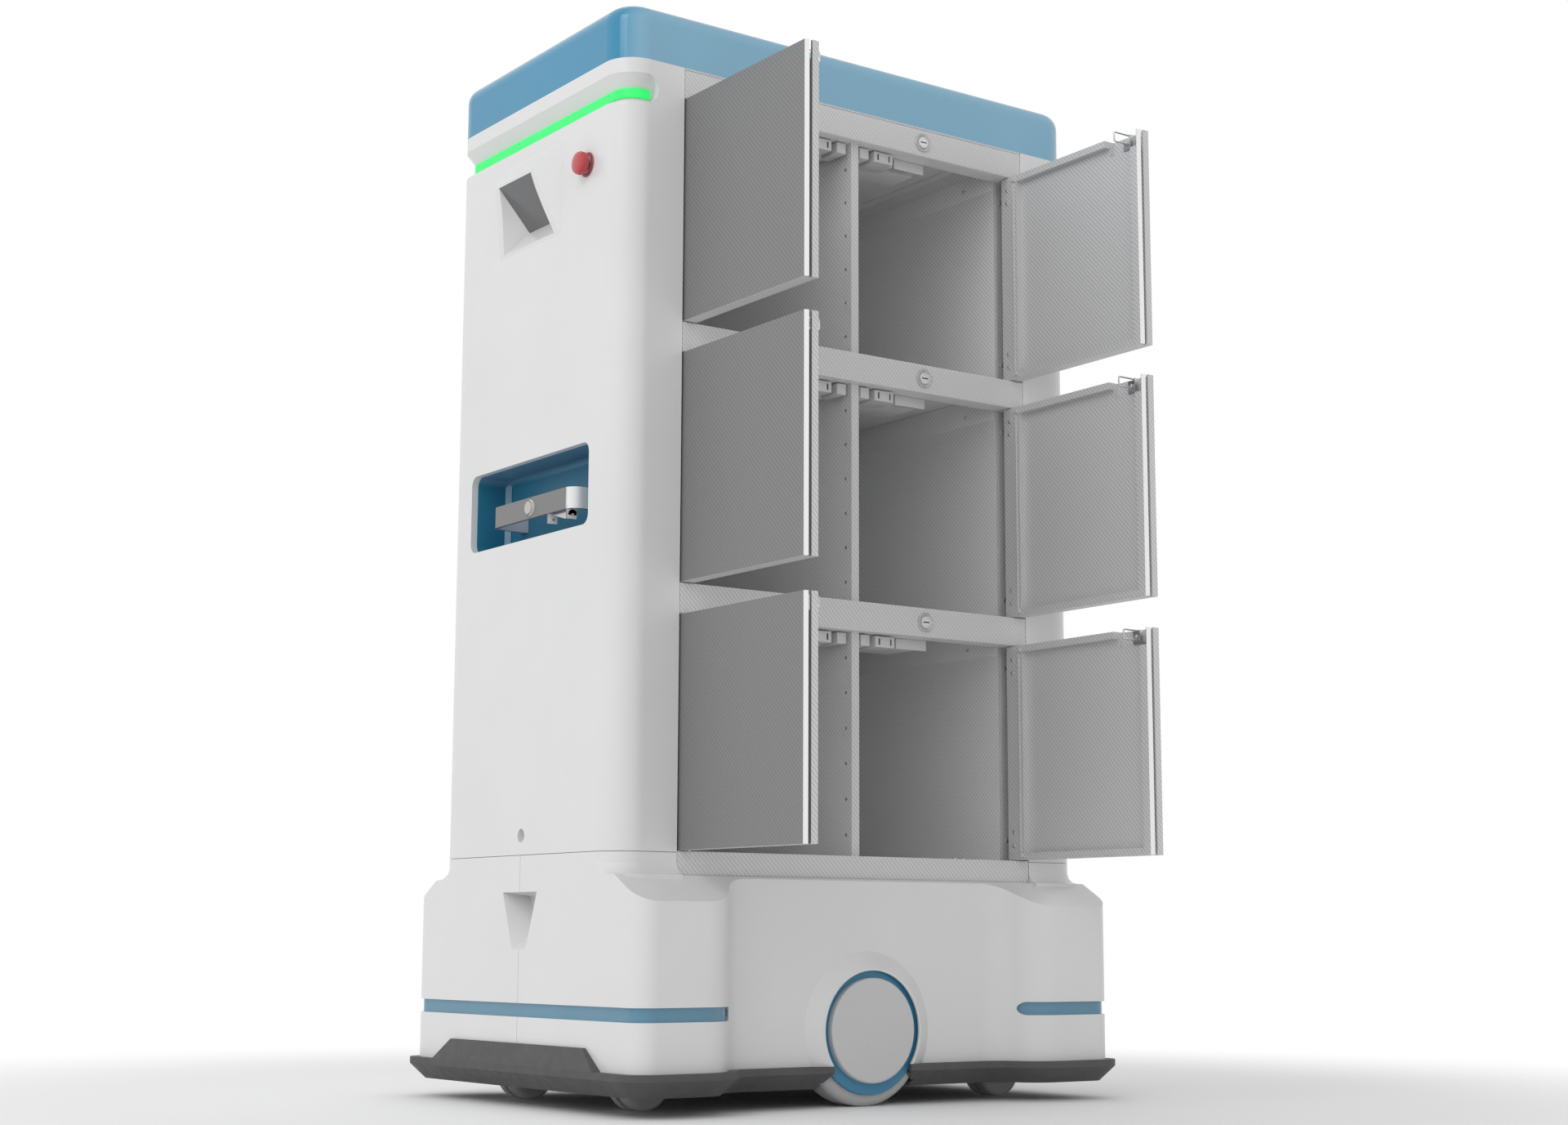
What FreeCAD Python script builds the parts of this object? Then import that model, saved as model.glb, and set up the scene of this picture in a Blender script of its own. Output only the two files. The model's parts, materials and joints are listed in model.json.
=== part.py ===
"""Autonomous delivery robot: a six-door locker cabinet on a differential-drive base.

Frame: millimetres, +X towards the driving front, +Y towards the locker doors, +Z up.
The origin lies on the floor below the centre of the robot. The doors are modelled open at
90 degrees, which is the rest position of their hinges.
"""
import FreeCAD
import Part

import math
import os

from FreeCAD import Vector

# ---------------------------------------------------------------- driving dimensions
TOTAL_HEIGHT = 1500.0
BODY_LENGTH = 816.0            # end face to end face
BODY_WIDTH = 478.0             # column covers, side face to side face
COVER_CORNER_R = 44.0
COVER_WALL = 4.0
BASE_HEIGHT = 338.5            # top of the base shell's necks, where the covers stand
CAP_HEIGHT = 81.0
CAP_EDGE_R = 24.0

POD_WIDTH = 612.0              # base across its end pods
POD_CORNER_R = 30.0
POD_FLAT_END = 301.0           # X where a pod's flat side starts to turn towards the waist
POD_TURN_R = 60.0
POD_TURN_DEG = 60.0
WAIST_WIDTH = 500.0
SHELL_WALL = 4.0
SHELL_BOTTOM = 56.0
SHOULDER_LOW = 273.0           # where a pod's side turns into its sloping shoulder
WAIST_TOP = 308.0
SHOULDER_LEDGE = 6.0           # flat beside the neck before the shoulder slopes
NECK_FILLET_R = 16.0
SEAM_GAP = 0.8
TONGUE = 2.5                   # lip of the base that reaches up inside an end cover
TONGUE_HEIGHT = 8.0
TONGUE_CLEARANCE = 0.2

BUMPER_REACH = 14.0            # lip beyond the shell
BUMPER_LIP = 9.0
BUMPER_BOTTOM = 25.5
BUMPER_INSET = 9.0             # bottom edge inside the shell's face
BUMPER_THICKNESS = 22.0
BUMPER_END = 66.0              # X of the lip's end beside the drive wheel
TAB_TOP = 85.0
TAB_TOP_WIDTH = 362.0
TAB_FOOT_WIDTH = 442.0
TAB_THICKNESS = 5.0
BUMPER_END_SLANT = 16.0
CARRIER_OUTSIDE = 5.0          # upright wall of the bumper that reaches up to the chassis
CARRIER_INSIDE = 11.0

SLOT_BOTTOM = 120.0            # scanner slot
SLOT_HEIGHT = 18.5
SLOT_END = 249.0
WINDOW_WALL = 3.0
WINDOW_LAP = 7.0

WHEEL_R = 102.6
TYRE_INNER_R = 84.0
TYRE_WIDTH = 46.0
TYRE_SHOULDER_R = 10.0
RIM_R = 87.0
RIM_LIP = 5.0
WHEEL_FACE = 255.0             # Y of the rim's outer face
HUBCAP_R = 71.2
HUBCAP_THICKNESS = 10.6
HUB_R = 24.0
WHEEL_CLEARANCE = 3.0
ARCH_R = 81.0
ARCH_LIP = 3.0
ARCH_FOOT_R = 108.6
ARCH_HEIGHT = 13.0             # how far the arch stands out of the waist
MOTOR_R = 58.0
MOTOR_LENGTH = 95.0
MOTOR_FLANGE = 8.0
AXLE_R = 9.0
RUNNING_CLEARANCE = 0.05
REST_GAP = 0.3                 # between curved or moving faces that nearly touch

CASTER_R = 37.5
CASTER_WIDTH = 19.0            # each of the two treads
CASTER_LEG = 8.0
CASTER_X = 285.0
CASTER_Y = 150.0
CASTER_TRAIL = 22.0
CASTER_AXLE_R = 4.0
CASTER_PLATE_R = 24.0
CASTER_HOOD = 3.0
KINGPIN_R = 7.0

DECK_Z = 100.0                 # underside of the chassis plate
PLATE = 6.0
PILLAR = 30.0
PILLAR_X = 240.0
PILLAR_Y = 195.0
BATTERY = (300.0, 180.0, 120.0)
CONTROLLER = (90.0, 170.0, 46.0)
SCANNER_X = 345.0
SCANNER_R = 27.0
SCANNER_HEIGHT = 52.0

SHEET = 2.0                    # cabinet sheet metal
CABINET_LENGTH = 614.0         # between the end covers
FRAME_FACE = 229.0             # Y of the rails and of the closed doors
BACK_FACE = -231.0
JAMB_FACE = 206.0
JAMB_WIDTH = 22.0
SHELF_TOPS = (340.0, 698.0, 1058.0)
HEAD_BOTTOM = 1376.0
RAIL_HEIGHT = 42.0
BOTTOM_RAIL_HEIGHT = 28.5
RAIL_RETURN = 23.0
SIDE_HEM = 20.0
FOOT_R = 10.0
CAM_SLOT = 10.0
POST_WIDTH = 13.2
POST_FACE = 224.0
SHELF_HOLE_R = 2.5
SHELF_HOLE_PITCH = 50.0

DOOR_THICKNESS = 21.0
DOOR_GAP = 1.0                 # above and below a door
DOOR_HINGE_EDGE = 305.0        # X of a closed door's hinge edge
DOOR_FREE_EDGE = 7.5
DOOR_FLANGE = 10.0
DOOR_HINGE_FLANGE = 34.0
DOOR_RECESS = 10.0
DOOR_SKIN = 3.0
PIVOT_INSET = 3.5              # pivot axis from the door's outer face and hinge edge
PIVOT_R = 2.0
PIVOT_BLOCK = 6.0
EDGE_CHANNEL = 16.0
EDGE_GROOVE = 4.6
EDGE_GROOVE_DEPTH = 6.0
EDGE_BEVEL = 6.0
EDGE_BEVEL_RUN = 2.5
LATCH_NOTCH = (11.0, 76.0)     # cut-out in a door's top flange, from the robot's middle

LATCH_X = 34.0                 # middle of the latch slot
LATCH_FACE = 222.0
LATCH_HEIGHT = 16.0
LATCH_DEPTH = 46.0
LATCH_WIDTH = 44.0
LATCH_SLOT = 10.0
STRIKER_REACH = 37.0
STRIKER_BAR = 2.5
LOCK_X = 116.0
LOCK_R = 14.0
LOCK_BARREL_R = 10.5
LOCK_PLUG_R = 8.0
LOCK_PROUD = 3.0
CAM_LENGTH = 26.0
CAM_WIDTH = 10.0
CAM_THICKNESS = 2.5

GROOVE_TOP = 1398.0            # light groove
GROOVE_BOTTOM = 1357.0
GROOVE_DEPTH = 15.0
LIGHT_BOTTOM = 1366.0
LIGHT_TOP = 1379.0
LIGHT_THICKNESS = 3.0
GROOVE_END = 350.0             # X where the groove stops on the side faces

CAMERA_Y = -10.0
CAMERA_TOP = 1298.0
CAMERA_BOTTOM = 1240.0
CAMERA_WIDTH = 92.0
CAMERA_PROUD = 26.0            # window's top edge in front of the cover
CAMERA_SUNK = 26.0             # window's bottom edge behind the cover's face
CAMERA_BAY = 14.0
VISOR_LOW = 1202.0
VISOR_HIGH = 1338.0
VISOR_HALF = 85.5
VISOR_RIM = 7.0

ESTOP_Y = 148.0
ESTOP_Z = 1284.0
ESTOP_R = 12.7
ESTOP_SLEEVE_R = 8.0
ESTOP_STEM_R = 5.0
ESTOP_STROKE = 4.0
ESTOP_HEAD = 17.5
ESTOP_COLLAR = 1.5

RECESS_WIDTH = 330.0
RECESS_BOTTOM = 778.0
RECESS_TOP = 891.0
RECESS_CORNER_R = 14.0
RECESS_LIP = 10.0
RECESS_DEPTH = 63.0
TRAY_WALL = 3.0
TRAY_CORNER_R = 8.0
HANDLE_Z = 823.0
HANDLE_HEIGHT = 30.0
HANDLE_THICKNESS = 5.0
HANDLE_FLAT = 95.0
HANDLE_BEND_R = 18.0
HANDLE_FOLD = 28.0
HANDLE_SETBACK = 4.0
HANDLE_BUTTON_R = 12.5
HANDLE_PLUNGER_R = 9.0
LEVER_Y = 50.0
LEVER_WIDTH = 48.0
LEVER_EAR = 3.0
LEVER_PIN_R = 2.0

PORT_Z = 365.0
PORT_R = 9.3
NOSE_TOP = 288.0               # trapezoid pocket in the base's end seam
NOSE_BOTTOM = 210.5
NOSE_TOP_WIDTH = 93.6
NOSE_BOTTOM_WIDTH = 37.4
NOSE_DEPTH = 40.0
NOSE_TAPER = 5.0
NOSE_RAMP = 30.0               # rise of the pocket's floor towards its back

# ---------------------------------------------------------------- worked-out places
END_X = BODY_LENGTH / 2
SIDE_Y = BODY_WIDTH / 2
CABINET_X = CABINET_LENGTH / 2
CAP_BOTTOM = TOTAL_HEIGHT - CAP_HEIGHT
JAMB_X = CABINET_X - JAMB_WIDTH
PIVOT_X = DOOR_HINGE_EDGE - PIVOT_INSET
PIVOT_Y = FRAME_FACE - PIVOT_INSET
DOOR_BACK = FRAME_FACE - DOOR_THICKNESS
SLOT_TOP = SLOT_BOTTOM + SLOT_HEIGHT
DECK_TOP = DECK_Z + PLATE
# each opening: (name, floor, bottom edge of the rail above)
OPENINGS = (
    ("low", SHELF_TOPS[0], SHELF_TOPS[1] - RAIL_HEIGHT),
    ("mid", SHELF_TOPS[1], SHELF_TOPS[2] - RAIL_HEIGHT),
    ("top", SHELF_TOPS[2], HEAD_BOTTOM),
)
ENDS = (("front", 1), ("rear", -1))

os.makedirs("parts", exist_ok=True)


# ---------------------------------------------------------------- helpers
def box(x0, x1, y0, y1, z0, z1):
    return Part.makeBox(x1 - x0, y1 - y0, z1 - z0, Vector(x0, y0, z0))


def cyl(radius, length, start, axis):
    return Part.makeCylinder(radius, length, Vector(*start), Vector(*axis))


def prism(wire, height):
    return Part.Face(wire).extrude(Vector(0, 0, height))


def fuse(shapes):
    return shapes[0].multiFuse(shapes[1:]).removeSplitter()


def mirrored_x(shape):
    return shape.mirror(Vector(0, 0, 0), Vector(1, 0, 0))


def mirrored_y(shape):
    return shape.mirror(Vector(0, 0, 0), Vector(0, 1, 0))


def at_end(shape, side):
    """A copy for the front (side 1) or the rear (side -1) half."""
    return shape if side == 1 else mirrored_x(shape)


def loft(wires, ruled=True):
    return Part.makeLoft(wires, True, ruled)


def polygon(points):
    return Part.makePolygon([Vector(*p) for p in points] + [Vector(*points[0])])


def save(name, *shapes):
    """Writes one sub-part; several shapes stay separate solids of one node."""
    solids = [s for shape in shapes for s in shape.Solids]
    for solid in solids:
        if not solid.isValid():
            print("invalid solid in", name)
    whole = solids[0] if len(solids) == 1 else Part.makeCompound(solids)
    whole.exportStep(os.path.join("parts", name + ".step"))
    print(f"{name}: {len(solids)} solids, {sum(s.Volume for s in solids) / 1000:.1f} cm3")


def arc_edge(centre, radius, start_deg, end_deg, z):
    """Arc in a horizontal plane from start_deg to end_deg, through the middle angle."""
    angles = (start_deg, (start_deg + end_deg) / 2, end_deg)
    points = [Vector(centre[0] + radius * math.cos(math.radians(a)),
                     centre[1] + radius * math.sin(math.radians(a)), z) for a in angles]
    return Part.Arc(*points).toShape()


def joined(edges, z):
    """Closes a chain of edges with straight lines between their ends into one wire."""
    chain = []
    for index, edge in enumerate(edges):
        chain.append(edge)
        end = edge.Vertexes[-1].Point
        start = edges[(index + 1) % len(edges)].Vertexes[0].Point
        if end.distanceToPoint(start) > 1e-6:
            chain.append(Part.LineSegment(end, start).toShape())
    return Part.Wire(chain)


def rounded_outline(half_x, half_y, radius, z):
    """Rounded rectangle about the origin, anticlockwise from the front right corner."""
    cx, cy = half_x - radius, half_y - radius
    corners = ((cx, cy, 0), (-cx, cy, 90), (-cx, -cy, 180), (cx, -cy, 270))
    return joined([arc_edge((x, y), radius, a, a + 90, z) for x, y, a in corners], z)


def body_outline(offset, z):
    """Plan of the columns and cap, moved outward by offset."""
    return rounded_outline(END_X + offset, SIDE_Y + offset, COVER_CORNER_R + offset, z)


def base_outline(offset, z):
    """Plan of the base with its pods and waist, moved outward by offset."""
    half_pod, half_waist = POD_WIDTH / 2, WAIST_WIDTH / 2
    turn = math.radians(POD_TURN_DEG)
    hollow_r = (half_pod - half_waist) / (1 - math.cos(turn)) - POD_TURN_R
    hollow_x = POD_FLAT_END - (POD_TURN_R + hollow_r) * math.sin(turn)
    corner = (END_X - POD_CORNER_R, half_pod - POD_CORNER_R)
    bulge = (POD_FLAT_END, half_pod - POD_TURN_R)
    hollow = (hollow_x, half_waist + hollow_r)
    lean = POD_TURN_DEG
    edges = []
    for mirror_y in (1, -1):
        # one long side, from the +X corner to the -X corner when mirror_y is 1
        side = [
            (corner, POD_CORNER_R + offset, 0, 90),
            (bulge, POD_TURN_R + offset, 90, 90 + lean),
            (hollow, hollow_r - offset, 270 + lean, 270),
        ]
        half = [arc_edge(c, r, a, b, z) for c, r, a, b in side]
        other = [arc_edge((-c[0], c[1]), r, 180 - b, 180 - a, z) for c, r, a, b in reversed(side)]
        chain = half + other
        if mirror_y == -1:
            turned = [arc_edge((-c[0], -c[1]), r, a + 180, b + 180, z) for c, r, a, b in side]
            back = [arc_edge((c[0], -c[1]), r, 360 - b, 360 - a, z) for c, r, a, b in reversed(side)]
            chain = turned + back
        edges += chain
    return joined(edges, z)


def frustum(front, back):
    """Solid between two four-cornered outlines, corner to corner."""
    return loft([polygon(front), polygon(back)])


# ---------------------------------------------------------------- base shell
def shoulder_prism(inset):
    """Long prism whose section is the base's end view: upright sides and sloping shoulders."""
    half_pod = POD_WIDTH / 2 - inset
    half_top = SIDE_Y + SHOULDER_LEDGE - inset
    section = polygon([
        (-600, -half_pod, SHELL_BOTTOM - 1), (-600, half_pod, SHELL_BOTTOM - 1),
        (-600, half_pod, SHOULDER_LOW - inset), (-600, half_top, WAIST_TOP - inset),
        (-600, -half_top, WAIST_TOP - inset), (-600, -half_pod, SHOULDER_LOW - inset),
    ])
    return Part.Face(section).extrude(Vector(1200, 0, 0))


def base_block(inset):
    """The base's outer form, or its hollow when inset is a wall thickness."""
    lower = prism(base_outline(-inset, SHELL_BOTTOM - inset), WAIST_TOP - SHELL_BOTTOM)
    return lower.common(shoulder_prism(inset))


def neck_block(inset, top):
    """Upright neck that carries an end cover, at the front."""
    neck = prism(body_outline(-inset, WAIST_TOP - NECK_FILLET_R), top - WAIST_TOP + NECK_FILLET_R)
    return neck.common(box(CABINET_X + SEAM_GAP + inset, END_X, -SIDE_Y, SIDE_Y, 0, top))


def neck_skirt():
    """Concave run-out between the neck and the shoulder."""
    rings = []
    for angle in (90, 60, 30, 0):
        spread = NECK_FILLET_R * (1 - math.cos(math.radians(angle)))
        rise = NECK_FILLET_R * (1 - math.sin(math.radians(angle)))
        rings.append(body_outline(spread, WAIST_TOP + rise))
    rings.append(body_outline(NECK_FILLET_R, WAIST_TOP - NECK_FILLET_R))
    rings.sort(key=lambda ring: ring.BoundBox.ZMin)
    skirt = loft(rings)
    keep = box(CABINET_X + SEAM_GAP, END_X, -POD_WIDTH / 2, POD_WIDTH / 2, SHOULDER_LOW, BASE_HEIGHT)
    return skirt.common(keep)


def wheel_cone(foot_r, face_r, start_y, height):
    return Part.makeCone(foot_r, face_r, height, Vector(0, start_y, WHEEL_R), Vector(0, 1, 0))


def arch_bump():
    half_waist = WAIST_WIDTH / 2
    bump = wheel_cone(ARCH_FOOT_R, ARCH_R + ARCH_LIP, half_waist - 1, ARCH_HEIGHT + 1)
    return bump.common(box(-200, 200, 0, 400, SHELL_BOTTOM, 400))


def arch_void():
    """Room for the drive wheel in and behind the arch."""
    half_waist = WAIST_WIDTH / 2
    well_r = WHEEL_R + WHEEL_CLEARANCE
    foot_y = half_waist - SHELL_WALL + 1
    cone = wheel_cone(well_r, ARCH_R, foot_y, ARCH_HEIGHT)
    well = cyl(well_r, 60, (0, foot_y - 60, WHEEL_R), (0, 1, 0))
    mouth = cyl(ARCH_R, ARCH_HEIGHT + 20, (0, foot_y, WHEEL_R), (0, 1, 0))
    return fuse([cone, well, mouth])


def slot_cutter():
    """Scanner slot round the front pod, ending round on both sides."""
    radius = SLOT_HEIGHT / 2
    middle = SLOT_BOTTOM + radius
    end_x = SLOT_END + radius
    ends = cyl(radius, 2 * POD_WIDTH, (end_x, -POD_WIDTH, middle), (0, 1, 0))
    reach = box(end_x, 2 * END_X, -POD_WIDTH, POD_WIDTH, SLOT_BOTTOM, SLOT_TOP)
    return fuse([ends, reach])


def nose_frustum(margin, start_x, depth):
    """Trapezoid pocket, wider at the face than at its back."""
    def outline(x, grow, lift):
        top, bottom = NOSE_TOP_WIDTH / 2 + grow, NOSE_BOTTOM_WIDTH / 2 + grow
        return [(x, -top, NOSE_TOP + grow), (x, top, NOSE_TOP + grow),
                (x, bottom, NOSE_BOTTOM - grow + lift), (x, -bottom, NOSE_BOTTOM - grow + lift)]
    return frustum(outline(start_x, margin, 0), outline(start_x - depth, margin - NOSE_TAPER, NOSE_RAMP))


def base_shell():
    block = base_block(0)
    hollow = base_block(SHELL_WALL)
    for name, side in ENDS:
        block = block.fuse(at_end(neck_block(0, BASE_HEIGHT - SEAM_GAP), side))
        block = block.fuse(at_end(neck_skirt(), side))
        hollow = hollow.fuse(at_end(neck_block(SHELL_WALL, BASE_HEIGHT + 1), side))
    shell = block.cut(hollow)
    for name, side in ENDS:
        outer = neck_block(SHELL_WALL + TONGUE_CLEARANCE, BASE_HEIGHT + TONGUE_HEIGHT)
        inner = neck_block(SHELL_WALL + TONGUE_CLEARANCE + TONGUE, BASE_HEIGHT + 2 * TONGUE_HEIGHT)
        root = neck_block(0, BASE_HEIGHT - SEAM_GAP)
        root = root.cut(neck_block(SHELL_WALL + TONGUE_CLEARANCE + TONGUE, BASE_HEIGHT))
        low = box(0, END_X, -SIDE_Y, SIDE_Y, BASE_HEIGHT - TONGUE_HEIGHT, BASE_HEIGHT)
        tongue = outer.cut(inner).fuse(root.common(low))
        upper = box(0, END_X, -SIDE_Y, SIDE_Y, BASE_HEIGHT - TONGUE_HEIGHT, BASE_HEIGHT + TONGUE_HEIGHT)
        shell = shell.fuse(at_end(tongue.common(upper), side))
        shell = shell.fuse(at_end(nose_frustum(SHELL_WALL, END_X, NOSE_DEPTH + SHELL_WALL), side))
        shell = shell.cut(at_end(nose_frustum(0, END_X, NOSE_DEPTH), side))
        shell = shell.cut(at_end(slot_cutter(), side))
    shell = shell.fuse([arch_bump(), mirrored_y(arch_bump())])
    shell = shell.cut([arch_void(), mirrored_y(arch_void())])
    return shell.removeSplitter()


def make_base():
    shell = base_shell()
    left = shell.common(box(-600, 600, SEAM_GAP / 2, 600, 0, 600))
    right = shell.common(box(-600, 600, -600, -SEAM_GAP / 2, 0, 600))
    save("base_cover_left", left)
    save("base_cover_right", right)


# ---------------------------------------------------------------- bumpers
def bumper_tab():
    """Raised trapezoid pad on the middle of a bumper."""
    face = END_X + BUMPER_REACH
    foot, top = TAB_FOOT_WIDTH / 2, TAB_TOP_WIDTH / 2
    front = [(face, -foot, SHELL_BOTTOM - 1), (face, foot, SHELL_BOTTOM - 1),
             (END_X + TAB_THICKNESS, top, TAB_TOP), (END_X + TAB_THICKNESS, -top, TAB_TOP)]
    back = [(END_X, -foot, SHELL_BOTTOM - 1), (END_X, foot, SHELL_BOTTOM - 1),
            (END_X, top, TAB_TOP), (END_X, -top, TAB_TOP)]
    return frustum(front, back)


def make_bumper():
    lip_bottom = SHELL_BOTTOM - BUMPER_LIP
    lip = prism(base_outline(BUMPER_REACH, lip_bottom), BUMPER_LIP)
    skirt = loft([base_outline(-BUMPER_INSET, BUMPER_BOTTOM), base_outline(BUMPER_REACH, lip_bottom)])
    room = prism(base_outline(-BUMPER_THICKNESS, BUMPER_BOTTOM - 1), 200)
    ring = lip.fuse(skirt).cut(room)
    carrier = prism(base_outline(-CARRIER_OUTSIDE, lip_bottom), DECK_Z - lip_bottom)
    carrier = carrier.cut(prism(base_outline(-CARRIER_INSIDE, lip_bottom), DECK_Z))
    ring = ring.fuse(carrier)
    slant = BUMPER_END_SLANT
    ends = Part.Face(polygon([
        (BUMPER_END, -600, DECK_Z), (BUMPER_END, -600, SHELL_BOTTOM - BUMPER_LIP),
        (BUMPER_END + slant, -600, BUMPER_BOTTOM - 1), (600, -600, BUMPER_BOTTOM - 1), (600, -600, DECK_Z),
    ])).extrude(Vector(0, 1200, 0))
    ring = ring.common(ends)
    half_waist = WAIST_WIDTH / 2
    tyre_room = cyl(WHEEL_R + WHEEL_CLEARANCE + 1, 60, (0, half_waist - 60, WHEEL_R), (0, 1, 0))
    rim_room = cyl(RIM_R + WHEEL_CLEARANCE, 60, (0, WHEEL_FACE + WHEEL_CLEARANCE - 60, WHEEL_R), (0, 1, 0))
    for room in (tyre_room, rim_room):
        ring = ring.cut([room, mirrored_y(room)])
    for name, side in ENDS:
        save(f"{name}_bumper", at_end(ring.fuse(bumper_tab()).removeSplitter(), side))


# ---------------------------------------------------------------- scanners
def make_scanner_windows():
    low = SLOT_BOTTOM - WINDOW_LAP
    band = prism(base_outline(-SHELL_WALL, low), SLOT_HEIGHT + 2 * WINDOW_LAP)
    band = band.cut(prism(base_outline(-SHELL_WALL - WINDOW_WALL, low), 200))
    band = band.cut(box(-600, SLOT_END - WINDOW_LAP, -600, 600, 0, 600))
    save("scanner_windows", band, mirrored_x(band))


def make_scanners():
    foot = cyl(SCANNER_R + 4, 8, (SCANNER_X, 0, DECK_TOP), (0, 0, 1))
    drum = cyl(SCANNER_R, SCANNER_HEIGHT - 4, (SCANNER_X, 0, DECK_TOP), (0, 0, 1))
    cap = cyl(SCANNER_R + 2, 10, (SCANNER_X, 0, DECK_TOP + SCANNER_HEIGHT - 10), (0, 0, 1))
    scanner = fuse([foot, drum, cap])
    save("scanners", scanner, mirrored_x(scanner))


# ---------------------------------------------------------------- chassis
def make_chassis():
    deck = prism(base_outline(-SHELL_WALL - REST_GAP, DECK_Z), PLATE)
    flange_y = motor_flange_face()
    well_x = WHEEL_R + WHEEL_CLEARANCE + 3
    motor_x = MOTOR_R + WHEEL_CLEARANCE
    inner_y = flange_y - MOTOR_LENGTH - WHEEL_CLEARANCE
    cuts = []
    for sign in (1, -1):
        near, far = sorted((sign * flange_y, sign * 400))
        cuts.append(box(-well_x, well_x, near, far, 0, 200))
        near, far = sorted((sign * inner_y, sign * 400))
        cuts.append(box(-motor_x, motor_x, near, far, 0, 200))
        for x in (CASTER_X, -CASTER_X):
            cuts.append(cyl(KINGPIN_R + RUNNING_CLEARANCE, 40, (x, sign * CASTER_Y, DECK_Z - 10), (0, 0, 1)))
    deck = deck.cut(cuts)
    pillars = []
    height = WAIST_TOP - SHELL_WALL - DECK_TOP
    for x in (PILLAR_X, -PILLAR_X):
        for y in (PILLAR_Y, -PILLAR_Y):
            half, bore = PILLAR / 2, PILLAR / 2 - 2.5
            tube = box(x - half, x + half, y - half, y + half, DECK_TOP, DECK_TOP + height)
            pillars.append(tube.cut(box(x - bore, x + bore, y - bore, y + bore, DECK_TOP, 600)))
    save("chassis_plate", deck.multiFuse(pillars).removeSplitter())


def make_battery():
    length, width, height = BATTERY
    case = box(-length / 2, length / 2, -width / 2, width / 2, DECK_TOP, DECK_TOP + height)
    case = case.makeFillet(8, [e for e in case.Edges if abs(e.tangentAt(0).z) > 0.9])
    lid = box(-length / 2 + 12, length / 2 - 12, -width / 2 + 12, width / 2 - 12,
              DECK_TOP + height - 1, DECK_TOP + height + 8)
    save("battery_pack", fuse([case, lid]))


def make_controller():
    length, width, height = CONTROLLER
    far_x = -PILLAR_X - PILLAR / 2 + 8
    case = box(far_x, far_x + length, -width / 2, width / 2, DECK_TOP, DECK_TOP + height - 12)
    fins = []
    pitch = length / 9
    for index in range(9):
        x = far_x + index * pitch
        fins.append(box(x, x + 3, -width / 2, width / 2, DECK_TOP + height - 13, DECK_TOP + height))
    save("drive_controller", fuse([case] + fins))


# ---------------------------------------------------------------- drive
def motor_flange_face():
    """Y of the face on which the drive wheel runs."""
    return WHEEL_FACE - RIM_LIP - TYRE_WIDTH - WHEEL_CLEARANCE - 2


def make_motors():
    face = motor_flange_face()
    drum = cyl(MOTOR_R, MOTOR_LENGTH, (0, face - MOTOR_LENGTH, WHEEL_R), (0, 1, 0))
    half = MOTOR_R + 20
    flange = box(-half, half, face - MOTOR_FLANGE, face, DECK_TOP, WHEEL_R + MOTOR_R + 8)
    shaft = cyl(AXLE_R, hub_length() + WHEEL_CLEARANCE, (0, face, WHEEL_R), (0, 1, 0))
    motor = fuse([drum, flange, shaft])
    save("drive_motors", motor, mirrored_y(motor))


def hub_length():
    return WHEEL_FACE - RIM_LIP - 4 - (motor_flange_face() + WHEEL_CLEARANCE)


def tyre():
    outer_y = WHEEL_FACE - RIM_LIP
    ring = cyl(WHEEL_R, TYRE_WIDTH, (0, outer_y - TYRE_WIDTH, WHEEL_R), (0, 1, 0))
    ring = ring.makeFillet(TYRE_SHOULDER_R, [e for e in ring.Edges if len(e.Vertexes) == 1])
    return ring.cut(cyl(TYRE_INNER_R, 600, (0, 0, WHEEL_R), (0, 1, 0)))


def rim():
    outer_y = WHEEL_FACE - RIM_LIP
    inner_y = outer_y - TYRE_WIDTH
    barrel = cyl(TYRE_INNER_R, TYRE_WIDTH, (0, inner_y, WHEEL_R), (0, 1, 0))
    barrel = barrel.cut(cyl(TYRE_INNER_R - 6, TYRE_WIDTH - 6, (0, inner_y, WHEEL_R), (0, 1, 0)))
    lip = cyl(RIM_R, RIM_LIP, (0, outer_y, WHEEL_R), (0, 1, 0))
    hub_start = motor_flange_face() + WHEEL_CLEARANCE
    hub = cyl(HUB_R, outer_y - hub_start, (0, hub_start, WHEEL_R), (0, 1, 0))
    bore = cyl(AXLE_R + RUNNING_CLEARANCE, hub_length() + 1, (0, hub_start, WHEEL_R), (0, 1, 0))
    wheel = fuse([barrel, lip, hub]).cut(bore)
    rim_edges = [e for e in wheel.Edges if len(e.Vertexes) == 1 and abs(e.Curve.Radius - RIM_R) < 0.01]
    return wheel.makeFillet(1.5, rim_edges)


def hubcap():
    disc = cyl(HUBCAP_R, HUBCAP_THICKNESS, (0, WHEEL_FACE, WHEEL_R), (0, 1, 0))
    front = [e for e in disc.Edges if len(e.Vertexes) == 1 and e.BoundBox.YMin > WHEEL_FACE + 1]
    return disc.makeFillet(3.0, front)


def make_drive_wheels():
    for side, flip in (("left", False), ("right", True)):
        for name, shape in (("tyre", tyre()), ("rim", rim()), ("hubcap", hubcap())):
            save(f"{side}_wheel_{name}", mirrored_y(shape) if flip else shape)


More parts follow.
